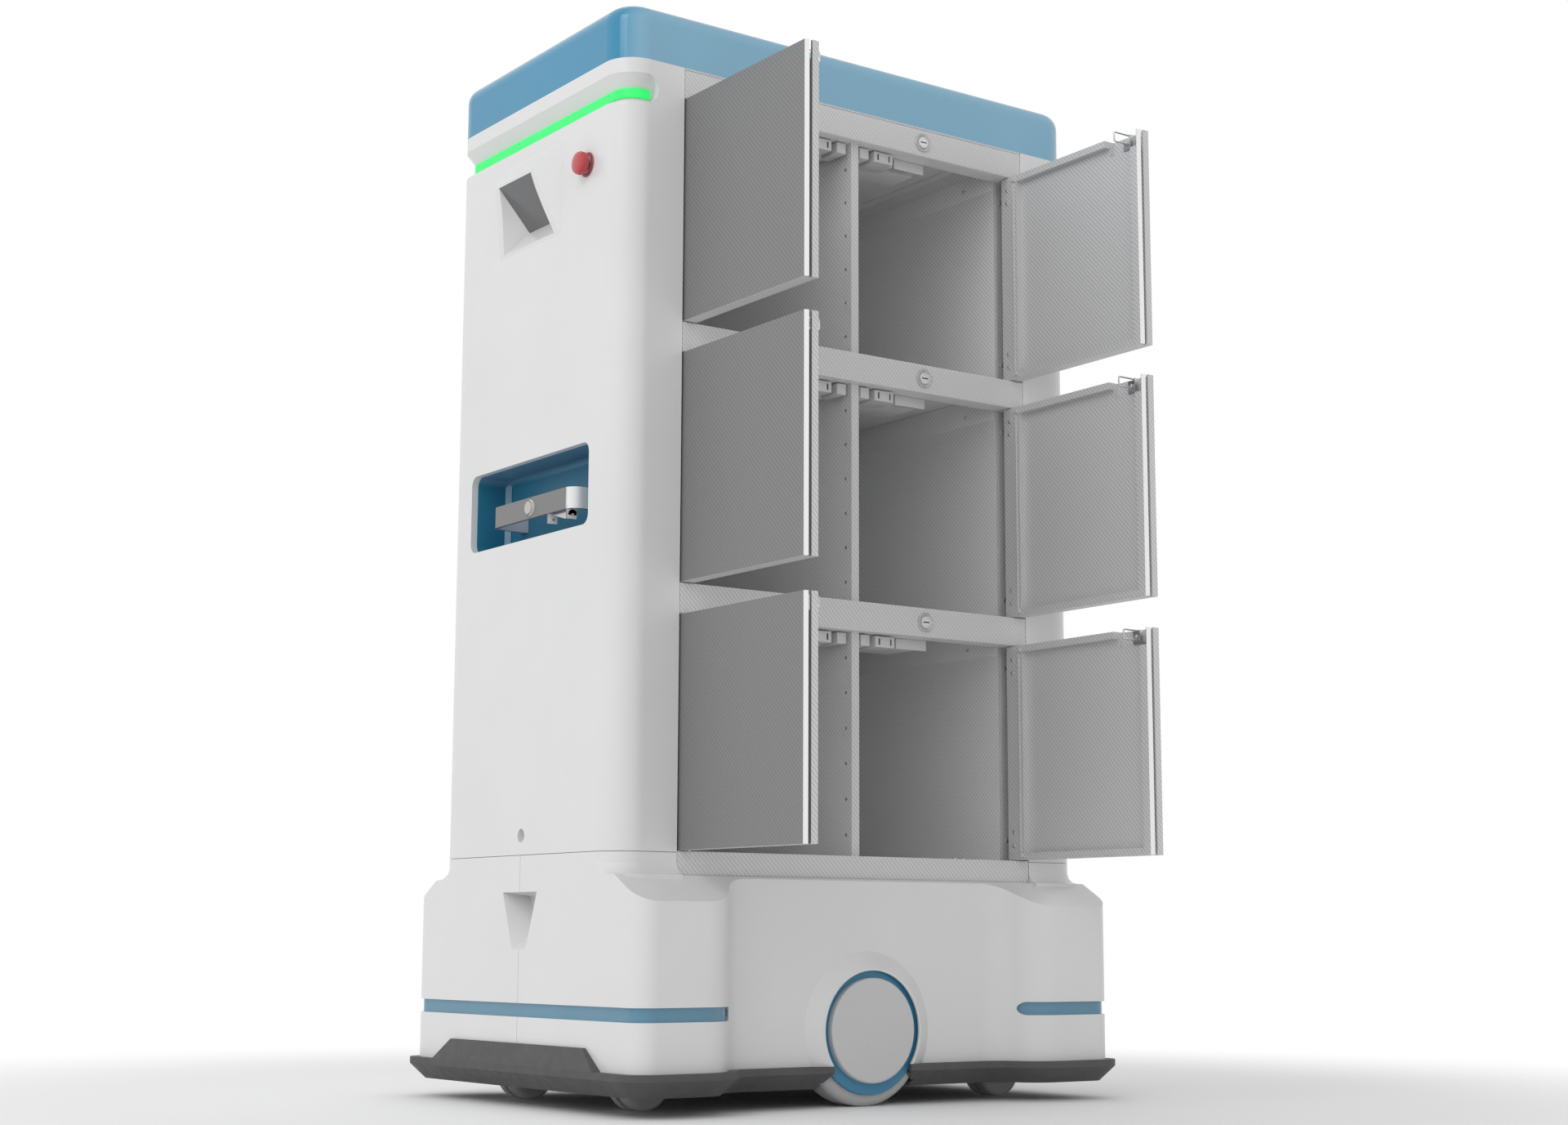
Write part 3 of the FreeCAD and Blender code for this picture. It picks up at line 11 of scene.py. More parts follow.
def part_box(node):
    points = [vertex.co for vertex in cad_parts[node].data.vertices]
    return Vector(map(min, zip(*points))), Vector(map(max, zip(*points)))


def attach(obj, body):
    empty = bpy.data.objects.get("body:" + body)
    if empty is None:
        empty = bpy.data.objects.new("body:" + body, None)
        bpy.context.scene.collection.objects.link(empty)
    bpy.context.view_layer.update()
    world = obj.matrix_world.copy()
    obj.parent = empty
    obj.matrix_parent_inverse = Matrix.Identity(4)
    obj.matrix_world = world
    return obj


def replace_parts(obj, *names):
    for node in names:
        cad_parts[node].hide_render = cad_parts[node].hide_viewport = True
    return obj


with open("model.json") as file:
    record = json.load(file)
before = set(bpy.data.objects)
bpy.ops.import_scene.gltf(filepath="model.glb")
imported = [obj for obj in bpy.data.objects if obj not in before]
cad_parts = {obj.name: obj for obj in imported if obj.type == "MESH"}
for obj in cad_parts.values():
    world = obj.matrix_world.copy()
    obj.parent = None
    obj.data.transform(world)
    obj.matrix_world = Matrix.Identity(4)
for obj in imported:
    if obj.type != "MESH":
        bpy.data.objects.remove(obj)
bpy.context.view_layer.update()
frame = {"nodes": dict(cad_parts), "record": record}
NODES = frame["nodes"]

# Finish colours, linear
SHELL_WHITE = (0.74, 0.74, 0.745)
CAP_BLUE = (0.022, 0.245, 0.425)
TRAY_BLUE = (0.022, 0.185, 0.31)
RIM_BLUE = (0.045, 0.22, 0.37)
CAP_SIDE = (0.21, 0.44, 0.60)
TRAY_CEILING = (0.10, 0.235, 0.36)
HANDLE_GREY = (0.20, 0.20, 0.202)
RUBBER_GREY = (0.075, 0.075, 0.078)
# set light, so that the cabinet sheet's faces inside the cabinet carry painted light
SHEET_GREY = (0.80, 0.80, 0.805)
DOOR_OUTSIDE = (0.22, 0.22, 0.222)
DOOR_INSIDE = (0.62, 0.62, 0.625)
# painted highlight on the slants of a door's free edge
EDGE_PAINTED_HIGHLIGHT = (0.92, 0.92, 0.92)
BRIGHT_BEND = (0.86, 0.86, 0.86)
TYRE_GREY = (0.42, 0.42, 0.415)
LIGHT_GREEN = (0.028, 1.0, 0.185)
STOP_RED = (0.50, 0.035, 0.045)

DOOR_SIDE_SHADE_TONE = 0.78               # painted shade: tone of the sheet's faces towards the door side, the rail fronts among them, against the sheets behind them
TWILL_PITCH = 0.0050           # distance between the lines of the sheet's twill
TWILL_CONTRAST = 0.19

# Noise scales of the plastics
CLOUD = 6.0
GLOSS_GRAIN = 420.0
PEEL_GRAIN = 900.0


# ------------------------------------------------------------ node helpers
class Graph:
    """Short names for building one material's nodes."""

    def __init__(self, name):
        self.material = bpy.data.materials.new(name)
        self.material.use_nodes = True
        self.tree = self.material.node_tree
        self.shader = self.tree.nodes["Principled BSDF"]
        self.output = self.tree.nodes["Material Output"]

    def add(self, kind, **values):
        node = self.tree.nodes.new(kind)
        for key, value in values.items():
            setattr(node, key, value)
        return node

    def link(self, source, target):
        self.tree.links.new(source, target)

    def set(self, **values):
        for key, value in values.items():
            socket = self.shader.inputs[key.replace("_", " ")]
            socket.default_value = (*value, 1.0) if isinstance(value, tuple) else value

    def math(self, operation, first, second=None, clamp=False):
        node = self.add("ShaderNodeMath", operation=operation, use_clamp=clamp)
        for index, value in enumerate((first, second)):
            if value is None:
                continue
            if isinstance(value, (int, float)):
                node.inputs[index].default_value = value
            else:
                self.link(value, node.inputs[index])
        return node.outputs[0]

    def place(self, scale=1.0):
        """Object coordinates in metres, times scale."""
        coords = self.add("ShaderNodeTexCoord").outputs["Object"]
        node = self.add("ShaderNodeVectorMath", operation="SCALE")
        self.link(coords, node.inputs[0])
        node.inputs["Scale"].default_value = scale
        return node.outputs[0]

    def noise(self, scale, detail=3.0, rough=0.5):
        node = self.add("ShaderNodeTexNoise")
        node.inputs["Scale"].default_value = scale
        node.inputs["Detail"].default_value = detail
        node.inputs["Roughness"].default_value = rough
        self.link(self.place(), node.inputs["Vector"])
        return node.outputs["Fac"]

    def spread(self, value, low, high, source=(0.3, 0.7)):
        """Maps a value from the source range to low..high."""
        node = self.add("ShaderNodeMapRange")
        node.inputs["From Min"].default_value = source[0]
        node.inputs["From Max"].default_value = source[1]
        node.inputs["To Min"].default_value = low
        node.inputs["To Max"].default_value = high
        self.link(value, node.inputs["Value"])
        return node.outputs["Result"]

    def mix(self, factor, first, second):
        node = self.add("ShaderNodeMix", data_type="RGBA")
        for key, value in (("Factor", factor), ("A", first), ("B", second)):
            socket = node.inputs[key]
            if isinstance(value, tuple):
                socket.default_value = (*value, 1.0)
            elif isinstance(value, (int, float)):
                socket.default_value = value
            else:
                self.link(value, socket)
        return node.outputs["Result"]

    def normal(self):
        """The three parts of a face's normal, in object space."""
        node = self.add("ShaderNodeSeparateXYZ")
        self.link(self.add("ShaderNodeTexCoord").outputs["Normal"], node.inputs[0])
        return node.outputs

    def bump(self, height, distance):
        node = self.add("ShaderNodeBump")
        node.inputs["Distance"].default_value = distance
        node.inputs["Strength"].default_value = 1.0
        self.link(height, node.inputs["Height"])
        self.link(node.outputs["Normal"], self.shader.inputs["Normal"])

    def finish(self, tone, gloss):
        """Sets the colour and the roughness from two outputs."""
        self.link(tone, self.shader.inputs["Base Color"])
        self.link(gloss, self.shader.inputs["Roughness"])


def shade(colour, factor):
    """A colour made darker or lighter."""
    return tuple(min(1.0, c * factor) for c in colour)


# ------------------------------------------------------------ materials
def moulded(name, colour, rough=0.36, grain=0.00006, coat=0.0, wear=0.05):
    """Moulded plastic: soft tone variation, fine grain in the gloss and a slight orange peel."""
    g = Graph(name)
    cloud = g.spread(g.noise(CLOUD, 4.0), 0.0, 1.0)
    tone = g.mix(cloud, shade(colour, 1.0 - wear), shade(colour, 1.0 + wear * 0.6))
    g.finish(tone, g.spread(g.noise(GLOSS_GRAIN, 2.0), rough - 0.05, rough + 0.05))
    g.bump(g.noise(PEEL_GRAIN, 2.0), grain)
    g.set(Coat_Weight=coat, Coat_Roughness=0.06)
    return g.material


def twill_lines(g, pitch):
    """Diagonal woven pattern that runs on over all faces of a sheet."""
    split = g.add("ShaderNodeSeparateXYZ")
    g.link(g.place(), split.inputs[0])
    x, y, z = split.outputs
    level = g.math("SUBTRACT", y, x)
    root = math.sqrt(2.0)
    across = g.math("MULTIPLY", g.math("ADD", level, z), 2 * math.pi / (pitch * root))
    along = g.math("MULTIPLY", g.math("SUBTRACT", level, z), math.pi / (pitch * root))
    stripe = g.math("MULTIPLY", g.math("ADD", g.math("SINE", across), 1.0), 0.5)
    dash = g.math("MULTIPLY", g.math("ADD", g.math("SINE", g.math("ADD", along, across)), 1.0), 0.5)
    return g.math("ADD", g.math("MULTIPLY", stripe, 0.7), g.math("MULTIPLY", dash, 0.3))


def twilled(name, colour, metallic):
    """Starts a sheet material: its graph, its twill tone and its normal. Level faces stay plain."""
    g = Graph(name)
    normal = g.normal()
    upright = g.math("LESS_THAN", g.math("ABSOLUTE", normal[2]), 0.5)
    lines = g.math("MULTIPLY", g.math("SUBTRACT", twill_lines(g, TWILL_PITCH), 0.5), upright)
    weave = g.math("ADD", lines, 0.5)
    woven = g.mix(weave, shade(colour, 1.0 - TWILL_CONTRAST), shade(colour, 1.0 + TWILL_CONTRAST))
    g.link(g.spread(weave, 0.44, 0.58, (0.0, 1.0)), g.shader.inputs["Roughness"])
    g.bump(weave, 0.00010)
    g.set(Metallic=metallic)
    return g, woven, normal


def cabinet_metal(name):
    """Grey cabinet sheet with faint marks. Its faces towards the door side are darker, as in the photo. This is
    painted light and shade: one sheet, lighter on its faces inside the cabinet than on its door-side faces.
    """
    g, woven, normal = twilled(name, SHEET_GREY, 0.1)
    marks = g.spread(g.noise(3.0, 5.0, 0.6), 0.0, 0.10)
    marked = g.mix(marks, woven, shade(SHEET_GREY, 0.85))
    # Painted shade: faces towards the door side are mixed towards black.
    facing_out = g.math("MULTIPLY", g.math("GREATER_THAN", normal[1], 0.9), 1.0 - DOOR_SIDE_SHADE_TONE)
    g.link(g.mix(facing_out, marked, (0.0, 0.0, 0.0)), g.shader.inputs["Base Color"])
    return g.material


def door_metal(name):
    """Door sheet: darker outside than inside, as in the photo, with a painted highlight on the slants of its
    free edge.
    """
    g, woven, normal = twilled(name, DOOR_OUTSIDE, 0.15)
    place = g.add("ShaderNodeSeparateXYZ")
    g.link(g.place(), place.inputs[0])
    outward = g.math("MULTIPLY", normal[0], place.outputs[0])
    along_x = g.math("ABSOLUTE", normal[0])
    outside = g.math("MULTIPLY", g.math("GREATER_THAN", outward, 0.0), g.math("GREATER_THAN", along_x, 0.9))
    ratio = DOOR_INSIDE[0] / DOOR_OUTSIDE[0]
    brighter = g.mix(1.0, woven, (ratio, ratio, ratio))
    brighter.node.blend_type = "MULTIPLY"
    # Painted highlight: faces slanted between X and Y, the slants of the free edge, are set near white.
    slanted = g.math("MULTIPLY", g.math("GREATER_THAN", along_x, 0.2),
                     g.math("GREATER_THAN", g.math("ABSOLUTE", normal[1]), 0.2))
    tone = g.mix(slanted, g.mix(outside, brighter, woven), EDGE_PAINTED_HIGHLIGHT)
    g.link(tone, g.shader.inputs["Base Color"])
    return g.material


def bare_metal(name, colour, rough=0.25, scale=(1.0, 1.0, 60.0), metallic=1.0):
    """Brushed or plated metal with a fine stretched grain."""
    g = Graph(name)
    coords = g.add("ShaderNodeMapping")
    coords.inputs["Scale"].default_value = scale
    g.link(g.place(), coords.inputs["Vector"])
    grain = g.add("ShaderNodeTexNoise")
    grain.inputs["Scale"].default_value = 300.0
    g.link(coords.outputs["Vector"], grain.inputs["Vector"])
    grain = grain.outputs["Fac"]
    tone = g.mix(g.spread(grain, 0.0, 1.0), shade(colour, 0.9), shade(colour, 1.06))
    g.finish(tone, g.spread(grain, rough - 0.05, rough + 0.07))
    g.bump(grain, 0.00004)
    g.set(Metallic=metallic)
    return g.material


def cap_plastic(name):
    """Glossy blue cap. Its two long sides are paler, which stands for the light on them in the photo."""
    g = Graph(name)
    tone = g.mix(g.spread(g.noise(CLOUD, 4.0), 0.0, 1.0), shade(CAP_BLUE, 0.97), shade(CAP_BLUE, 1.02))
    long_side = g.spread(g.math("ABSOLUTE", g.normal()[1]), 0.0, 1.0, (0.55, 0.95))
    g.finish(g.mix(long_side, tone, CAP_SIDE), g.spread(g.noise(GLOSS_GRAIN, 2.0), 0.12, 0.20))
    g.bump(g.noise(PEEL_GRAIN, 2.0), 0.00002)
    g.set(Coat_Weight=0.25, Coat_Roughness=0.06)
    return g.material


def tray_plastic(name):
    """Blue tray lining. Its ceiling is paler, which stands for the light on it in the photo."""
    g = Graph(name)
    tone = g.mix(g.spread(g.noise(CLOUD, 4.0), 0.0, 1.0), shade(TRAY_BLUE, 0.96), shade(TRAY_BLUE, 1.04))
    ceiling = g.spread(g.normal()[2], 0.0, 1.0, (-0.3, -0.8))
    g.finish(g.mix(ceiling, tone, TRAY_CEILING), g.spread(g.noise(GLOSS_GRAIN, 2.0), 0.38, 0.48))
    g.bump(g.noise(PEEL_GRAIN, 2.0), 0.0001)
    return g.material


def handle_metal(name):
    """Grey handle bar. Its bend is brighter, which stands for the light on it in the photo."""
    g = Graph(name)
    grain = g.noise(300.0)
    tone = g.mix(grain, shade(HANDLE_GREY, 0.95), shade(HANDLE_GREY, 1.05))
    bend = g.spread(g.normal()[1], 0.0, 1.0, (0.12, 0.34))
    g.finish(g.mix(bend, tone, BRIGHT_BEND), g.spread(grain, 0.34, 0.46))
    g.bump(grain, 0.00003)
    g.set(Metallic=0.1)
    return g.material


def rubber(name, colour, rough=0.62):
    """Matte rubber with a fine moulded grain and dusty patches."""
    g = Graph(name)
    dust = g.spread(g.noise(9.0, 5.0, 0.6), 0.0, 0.35)
    g.finish(g.mix(dust, colour, shade(colour, 1.35)), g.spread(g.noise(60.0), rough - 0.08, rough + 0.08))
    g.bump(g.noise(1400.0, 2.0), 0.00018)
    return g.material


def tinted_glass(name, colour, rough, transmission):
    """Tinted window, with a faint variation in the gloss."""
    g = Graph(name)
    tone = g.mix(g.noise(12.0), shade(colour, 0.92), shade(colour, 1.05))
    g.finish(tone, g.spread(g.noise(35.0), rough, rough + 0.04))
    g.set(Transmission_Weight=transmission, IOR=1.45)
    return g.material


def glowing(name, colour, strength):
    """Light strip: a lit diffuser with soft bright spots over its lamps."""
    g = Graph(name)
    glow = g.spread(g.noise(40.0, 1.0), strength * 0.94, strength * 1.06)
    g.link(glow, g.shader.inputs["Emission Strength"])
    g.link(g.mix(g.noise(25.0), shade(colour, 0.97), colour), g.shader.inputs["Emission Color"])
    g.set(Base_Color=colour, Roughness=0.4)
    return g.material


def make_materials():
    """One finish for each material slot of the record, and a few for small pieces."""
    return {
        "shell_white": moulded("shell_white", SHELL_WHITE, 0.34, 0.00005, 0.15, 0.02),
        "cap_blue": cap_plastic("cap_blue"),
        "bumper_rubber": rubber("bumper_rubber", RUBBER_GREY),
        "scanner_glass": tinted_glass("scanner_glass", (0.16, 0.36, 0.50), 0.06, 0.25),
        "black_plastic": moulded("black_plastic", (0.035, 0.036, 0.04), 0.45, 0.0001),
        "deck_paint": moulded("deck_paint", (0.11, 0.115, 0.12), 0.55, 0.00012),
        "cast_alloy": bare_metal("cast_alloy", (0.35, 0.355, 0.36), 0.5, (1.0, 1.0, 1.0)),
        "light_green": glowing("light_green", LIGHT_GREEN, 0.16),
        "smoked_glass": tinted_glass("smoked_glass", (0.15, 0.152, 0.156), 0.16, 0.0),
        # the head's red, darkened: painted shade on the emergency stop's ring at the head's base
        "estop_steel": moulded("estop_steel", (0.30, 0.05, 0.06), 0.4),
        "estop_red": moulded("estop_red", STOP_RED, 0.28, 0.00004, 0.4),
        "tray_blue": tray_plastic("tray_blue"),
        # painted highlight for the tray's back corner
        "tray_painted_highlight": moulded("tray_painted_highlight", (0.22, 0.37, 0.50), 0.42, 0.0001),
        "handle_grey": handle_metal("handle_grey"),
        "button_grey": moulded("button_grey", (0.50, 0.47, 0.45), 0.4),
        "lever_grey": moulded("lever_grey", (0.56, 0.52, 0.50), 0.4),
        # painted highlight for one side of the push button's rim
        "crescent_painted_highlight": bare_metal("crescent_painted_highlight", (0.86, 0.86, 0.86), 0.25, (1.0, 1.0, 1.0), 0.6),
        "dark_gap": moulded("dark_gap", (0.05, 0.05, 0.052), 0.6, 0.0001),
        "cabinet_sheet": cabinet_metal("cabinet_sheet"),
        "door_sheet": door_metal("door_sheet"),
        "latch_white": moulded("latch_white", (0.62, 0.62, 0.62), 0.4),
        "lock_chrome": bare_metal("lock_chrome", (0.80, 0.80, 0.80), 0.26, (30.0, 1.0, 30.0), 0.3),
        "lock_ring": bare_metal("lock_ring", (0.50, 0.50, 0.50), 0.30, (1.0, 1.0, 1.0), 0.25),
        "striker_steel": bare_metal("striker_steel", (0.60, 0.60, 0.61), 0.3),
        "tyre_grey": rubber("tyre_grey", TYRE_GREY, 0.55),
        "rim_blue": moulded("rim_blue", RIM_BLUE, 0.35),
        "hubcap_white": moulded("hubcap_white", (0.58, 0.58, 0.585), 0.32, 0.00005, 0.1, 0.02),
        "caster_body": moulded("caster_body", (0.40, 0.40, 0.405), 0.45),
        "caster_tread": rubber("caster_tread", (0.46, 0.46, 0.46), 0.5),
    }


def dress_nodes(materials):
    """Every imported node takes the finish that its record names."""
    for part in frame["record"]["subparts"]:
        mesh = NODES[part["node"]].data
        mesh.materials.clear()
        mesh.materials.append(materials[part["material_slot"]])


# ------------------------------------------------------------ mesh helpers
ARC_STEPS = 5                  # points in a small rounded corner
SHARP_FROM = math.radians(35)


def turns(count, start=0.0, sweep=2 * math.pi, whole=True):
    """Angles spread over a sweep; a whole turn leaves out its last angle, which is the first again."""
    steps = count if whole else count - 1
    return [start + sweep * index / steps for index in range(count)]


def skin(builder, rings, closed=False):
    """Joins rings of points by faces, and covers both ends unless the last ring meets the first."""
    rings = [[builder.verts.new(point) for point in ring] for ring in rings]
    following = rings[1:] + rings[:1] if closed else rings[1:]
    for ring, other in zip(rings, following):
        for index in range(len(ring)):
            after = (index + 1) % len(ring)
            builder.faces.new((ring[index], ring[after], other[after], other[index]))
    if not closed:
        builder.faces.new(reversed(rings[0]))
        builder.faces.new(rings[-1])


def revolved(builder, profile, place, outward, segments=20, bored=False):
    """Adds a turned form from (radius, height) pairs along the outward direction; bored leaves a ring."""
    turn = Vector(outward).to_track_quat("Z", "Y").to_matrix().to_4x4()
    matrix = Matrix.Translation(Vector(place)) @ turn
    rings = []
    for radius, height in profile:
        ring = [Vector((radius * math.cos(t), radius * math.sin(t), height)) for t in turns(segments)]
        rings.append([matrix @ point for point in ring])
    skin(builder, rings, bored)


def extruded(builder, outline, start, end):
    """Adds a prism along X whose outline is a list of (y, z)."""
    skin(builder, [[(x, y, z) for y, z in outline] for x in (start, end)])


def wire(builder, path, radius, segments=10):
    """Adds a round wire along a path that stays in one upright plane of constant Y."""
    side = Vector((0.0, 1.0, 0.0))
    rings = []
    for index, point in enumerate(path):
        before, after = path[max(index - 1, 0)], path[min(index + 1, len(path) - 1)]
        lift = side.cross((Vector(after) - Vector(before)).normalized())
        spokes = [math.cos(t) * side + math.sin(t) * lift for t in turns(segments)]
        rings.append([Vector(point) + radius * spoke for spoke in spokes])
    skin(builder, rings)


def slotted_disc(builder, place, radius, gap, base, height):
    """Adds a disc facing +Y that is split by a level key slot."""
    start = math.asin(gap / 2 / radius)
    angles = turns(15, start, math.pi - 2 * start, whole=False)
    arc = [(radius * math.cos(t), radius * math.sin(t)) for t in angles]
    for sign in (-1, 1):
        skin(builder, [[(place[0] + x, place[1] + rise, place[2] + sign * z) for x, z in arc]
                       for rise in (base, height)])


def block(builder, low, high, edge=0.0006, sign=1):
    """Adds a box with softened edges. Sign -1 puts it on the other side of the robot's middle."""
    if sign == -1:
        low, high = (-high[0], low[1], low[2]), (-low[0], high[1], high[2])
    corners = [builder.verts.new((x, y, z))
               for x in (low[0], high[0]) for y in (low[1], high[1]) for z in (low[2], high[2])]
    faces = [builder.faces.new([corners[index] for index in ring]) for ring in
             ((0, 1, 3, 2), (4, 6, 7, 5), (0, 4, 5, 1), (2, 3, 7, 6), (0, 2, 6, 4), (1, 5, 7, 3))]
    bmesh.ops.recalc_face_normals(builder, faces=faces)
    if edge:
        edges = {line for face in faces for line in face.edges}
        bmesh.ops.bevel(builder, geom=list(edges), offset=edge, segments=2, affect="EDGES", profile=0.5)


def piece_from(builder, name, finish, body="chassis"):
    """Turns a bmesh into a piece of the robot that rides on a body."""
    bmesh.ops.recalc_face_normals(builder, faces=builder.faces)
    mesh = bpy.data.meshes.new(name)
    builder.to_mesh(mesh)
    builder.free()
    for face in mesh.polygons:
        face.use_smooth = True
    mesh.set_sharp_from_angle(angle=SHARP_FROM)
    mesh.materials.append(finishes[finish])
    piece = bpy.data.objects.new(name, mesh)
    bpy.context.scene.collection.objects.link(piece)
    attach(piece, body)
    return piece


def screws(name, places, outward, radius, body="chassis"):
    """Socket-head screws: low domes, each with a round key socket in it."""
    profile = [(radius, 0.0), (radius, 0.25 * radius), (0.86 * radius, 0.5 * radius),
               (0.62 * radius, 0.62 * radius), (0.42 * radius, 0.64 * radius), (0.40 * radius, 0.30 * radius)]
    builder = bmesh.new()
    for place in places:
        revolved(builder, profile, place, outward)
    piece_from(builder, name, "striker_steel", body)


# ------------------------------------------------------------ cabinet
LEVELS = ("low", "mid", "top")
SIDES = (("left", 1), ("right", -1))
DOOR_PLAY = 0.001              # gap over and under a door
SHEET = 0.002
FINE_EDGE = 0.0004             # softened edge of folded sheet
SETBACK = 0.0003               # rails and locks behind the covers' faces

RAIL_GAP = 0.0009              # from a rail's end to the cover beside it
RAIL_ROUND = 0.0022
RAIL_FROM_DOOR = 0.007         # the CAD rail's face, from the hinge edge of an open door
SHELF_THICKNESS = 0.014
FLOOR_LIFT = 0.001             # lowest shelf above the underside of the frame
FILLER_GAP = 0.0002            # over the divider's filler, under a shelf
ROOF_PAN = 0.021               # roof pan above the top ceiling

ANGLE_INSET = 0.004
ANGLE_WALL_GAP = 0.0001
ANGLE_DROP = 0.011             # angle below the ceiling
ANGLE_SCREWS = (0.16, 0.84)    # share of the depth
ANGLE_SCREW_RISE = 0.002
ANGLE_SCREW_R = 0.0030

# Inset from the side wall, width and height of each strip
JAMB_STRIPS = ((0.0006, 0.0016, 0.0014), (0.0036, 0.0012, 0.0010), (0.0180, 0.0016, 0.0016))
JAMB_STRIP_GAP = 0.0006
JAMB_STRIP_SINK = 0.0004
JAMB_STRIP_EDGE = 0.0003
JAMB_SCREW_INSET = 0.0115
JAMB_SCREW_END = 0.031
JAMB_SCREW_R = 0.0028

STUD = ((0.0042, 0.0), (0.0042, 0.0040), (0.0034, 0.0052), (0.0015, 0.0056))
STUD_PLACE = (0.030, 0.050)    # from the side wall and from the shelf's front
STUD_PITCH = 0.017

FOOT_PLACES = (0.037, 0.192)   # foot pairs from the robot's middle
FOOT_R = 0.0022
FOOT_HALF_PITCH = 0.0035
FOOT_HEIGHT = 0.0038
FOOT_TOP_OVERLAP = 0.0002
FOOT_SETBACK = 0.012


class Cabinet:
    """Places in the cabinet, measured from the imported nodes."""

    def __init__(self):
        frame_low, frame_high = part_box("cabinet_frame")
        cover_low, cover_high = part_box("front_cover")
        self.shelf_low, self.shelf_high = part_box("shelves")
        self.divider_low, self.divider_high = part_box("divider")
        self.bottom = frame_low.z
        self.roof = frame_high.z - SHEET
        self.side_face = cover_high.y
        self.face = cover_high.y - SETBACK
        self.half_width = cover_low.x - RAIL_GAP
        doors = [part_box(f"door_left_{level}_panel") for level in LEVELS]
        self.rail_back = doors[0][0].y + RAIL_FROM_DOOR
        self.rows = [(low.z - DOOR_PLAY, high.z + DOOR_PLAY) for low, high in doors]
        floors = [floor for floor, ceiling in self.rows]
        ceilings = [ceiling for floor, ceiling in self.rows]
        self.rails = list(zip([self.bottom] + ceilings, floors + [self.roof]))


def rail_faces(cabinet):
    """Rail fronts flush with the covers, with both front edges rounded."""
    builder = bmesh.new()
    for low, high in cabinet.rails:
        outline = [(cabinet.rail_back, low)]
        for centre, start in ((low + RAIL_ROUND, -math.pi / 2), (high - RAIL_ROUND, 0.0)):
            for t in turns(ARC_STEPS, start, math.pi / 2, whole=False):
                inset = RAIL_ROUND * (1 - math.cos(t))
                outline.append((cabinet.face - inset, centre + RAIL_ROUND * math.sin(t)))
        outline.append((cabinet.rail_back, high))
        extruded(builder, outline, -cabinet.half_width, cabinet.half_width)
    piece_from(builder, "rail_faces", "cabinet_sheet")


def thin_shelves(cabinet):
    """Shelves thinner than the rails, with the divider filled in below each."""
    low, high = cabinet.shelf_low, cabinet.shelf_high
    builder = bmesh.new()
    floor = cabinet.rows[0][0]
    block(builder, (low.x, low.y, cabinet.bottom + FLOOR_LIFT), (high.x, high.y, floor), FINE_EDGE)
    for below, above in cabinet.rails[1:-1]:
        under = above - SHELF_THICKNESS
        block(builder, (low.x, low.y, under), (high.x, high.y, above), FINE_EDGE)
        block(builder, (cabinet.divider_low.x, low.y, below),
              (cabinet.divider_high.x, high.y, under - FILLER_GAP), FINE_EDGE)
    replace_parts(piece_from(builder, "thin_shelves", "cabinet_sheet"), "shelves")


def shelf_angles(cabinet):
    """Angles along the side walls under every shelf, and their screws."""
    low, high = cabinet.shelf_low, cabinet.shelf_high
    inner = high.x - SHEET
    builder = bmesh.new()
    for (floor, ceiling), (below, above) in zip(cabinet.rows, cabinet.rails[1:]):
        under = ceiling + ROOF_PAN if above == cabinet.roof else above - SHELF_THICKNESS
        for sign in (1, -1):
            block(builder, (inner, low.y + ANGLE_INSET, ceiling - ANGLE_DROP),
                  (high.x - ANGLE_WALL_GAP, high.y - ANGLE_INSET, under - FILLER_GAP), FINE_EDGE, sign)
    piece_from(builder, "shelf_angles", "cabinet_sheet")
    for side, sign in SIDES:
        places = [(sign * inner, low.y + (high.y - low.y) * share, ceiling + ANGLE_SCREW_RISE)
                  for floor, ceiling in cabinet.rows for share in ANGLE_SCREWS]
        screws(f"shelf_angle_screws_{side}", places, (-sign, 0, 0), ANGLE_SCREW_R)


def jambs(cabinet):
    """Bright strips along both jambs of every compartment, and the jambs' screws."""
    inner, front = cabinet.shelf_high.x, cabinet.shelf_high.y
    builder = bmesh.new()
    places = []
    for floor, ceiling in cabinet.rows:
        for sign in (1, -1):
            for inset, width, proud in JAMB_STRIPS:
                block(builder, (inner + inset, front - JAMB_STRIP_SINK, floor + JAMB_STRIP_GAP),
                      (inner + inset + width, front + proud, ceiling - JAMB_STRIP_GAP), JAMB_STRIP_EDGE, sign)
            for height in (floor + JAMB_SCREW_END, ceiling - JAMB_SCREW_END):
                places.append((sign * (inner + JAMB_SCREW_INSET), front, height))
    piece_from(builder, "jamb_trims", "hubcap_white")
    screws("jamb_screws", places, (0, 1, 0), JAMB_SCREW_R)


def floor_studs(cabinet):
    """Pairs of studs on the lowest floor, near its outer front corners."""
    builder = bmesh.new()
    for sign in (1, -1):
        for shift in (0.0, STUD_PITCH):
            x = cabinet.shelf_high.x - STUD_PLACE[0] - shift
            y = cabinet.shelf_high.y - STUD_PLACE[1]
            revolved(builder, STUD, (sign * x, y, cabinet.rows[0][0]), (0, 0, 1), 16)
    piece_from(builder, "floor_studs", "striker_steel")


def rail_feet(cabinet):
    """Pairs of thin feet under the bottom rail."""
    builder = bmesh.new()
    height = cabinet.bottom - FOOT_HEIGHT + FOOT_TOP_OVERLAP
    for sign in (1, -1):
        for x in FOOT_PLACES:
            for shift in (-FOOT_HALF_PITCH, FOOT_HALF_PITCH):
                place = (sign * x + shift, cabinet.side_face - FOOT_SETBACK, height)
                revolved(builder, [(FOOT_R, 0.0), (FOOT_R, FOOT_HEIGHT)], place, (0, 0, 1), 10)
    piece_from(builder, "rail_feet", "striker_steel")


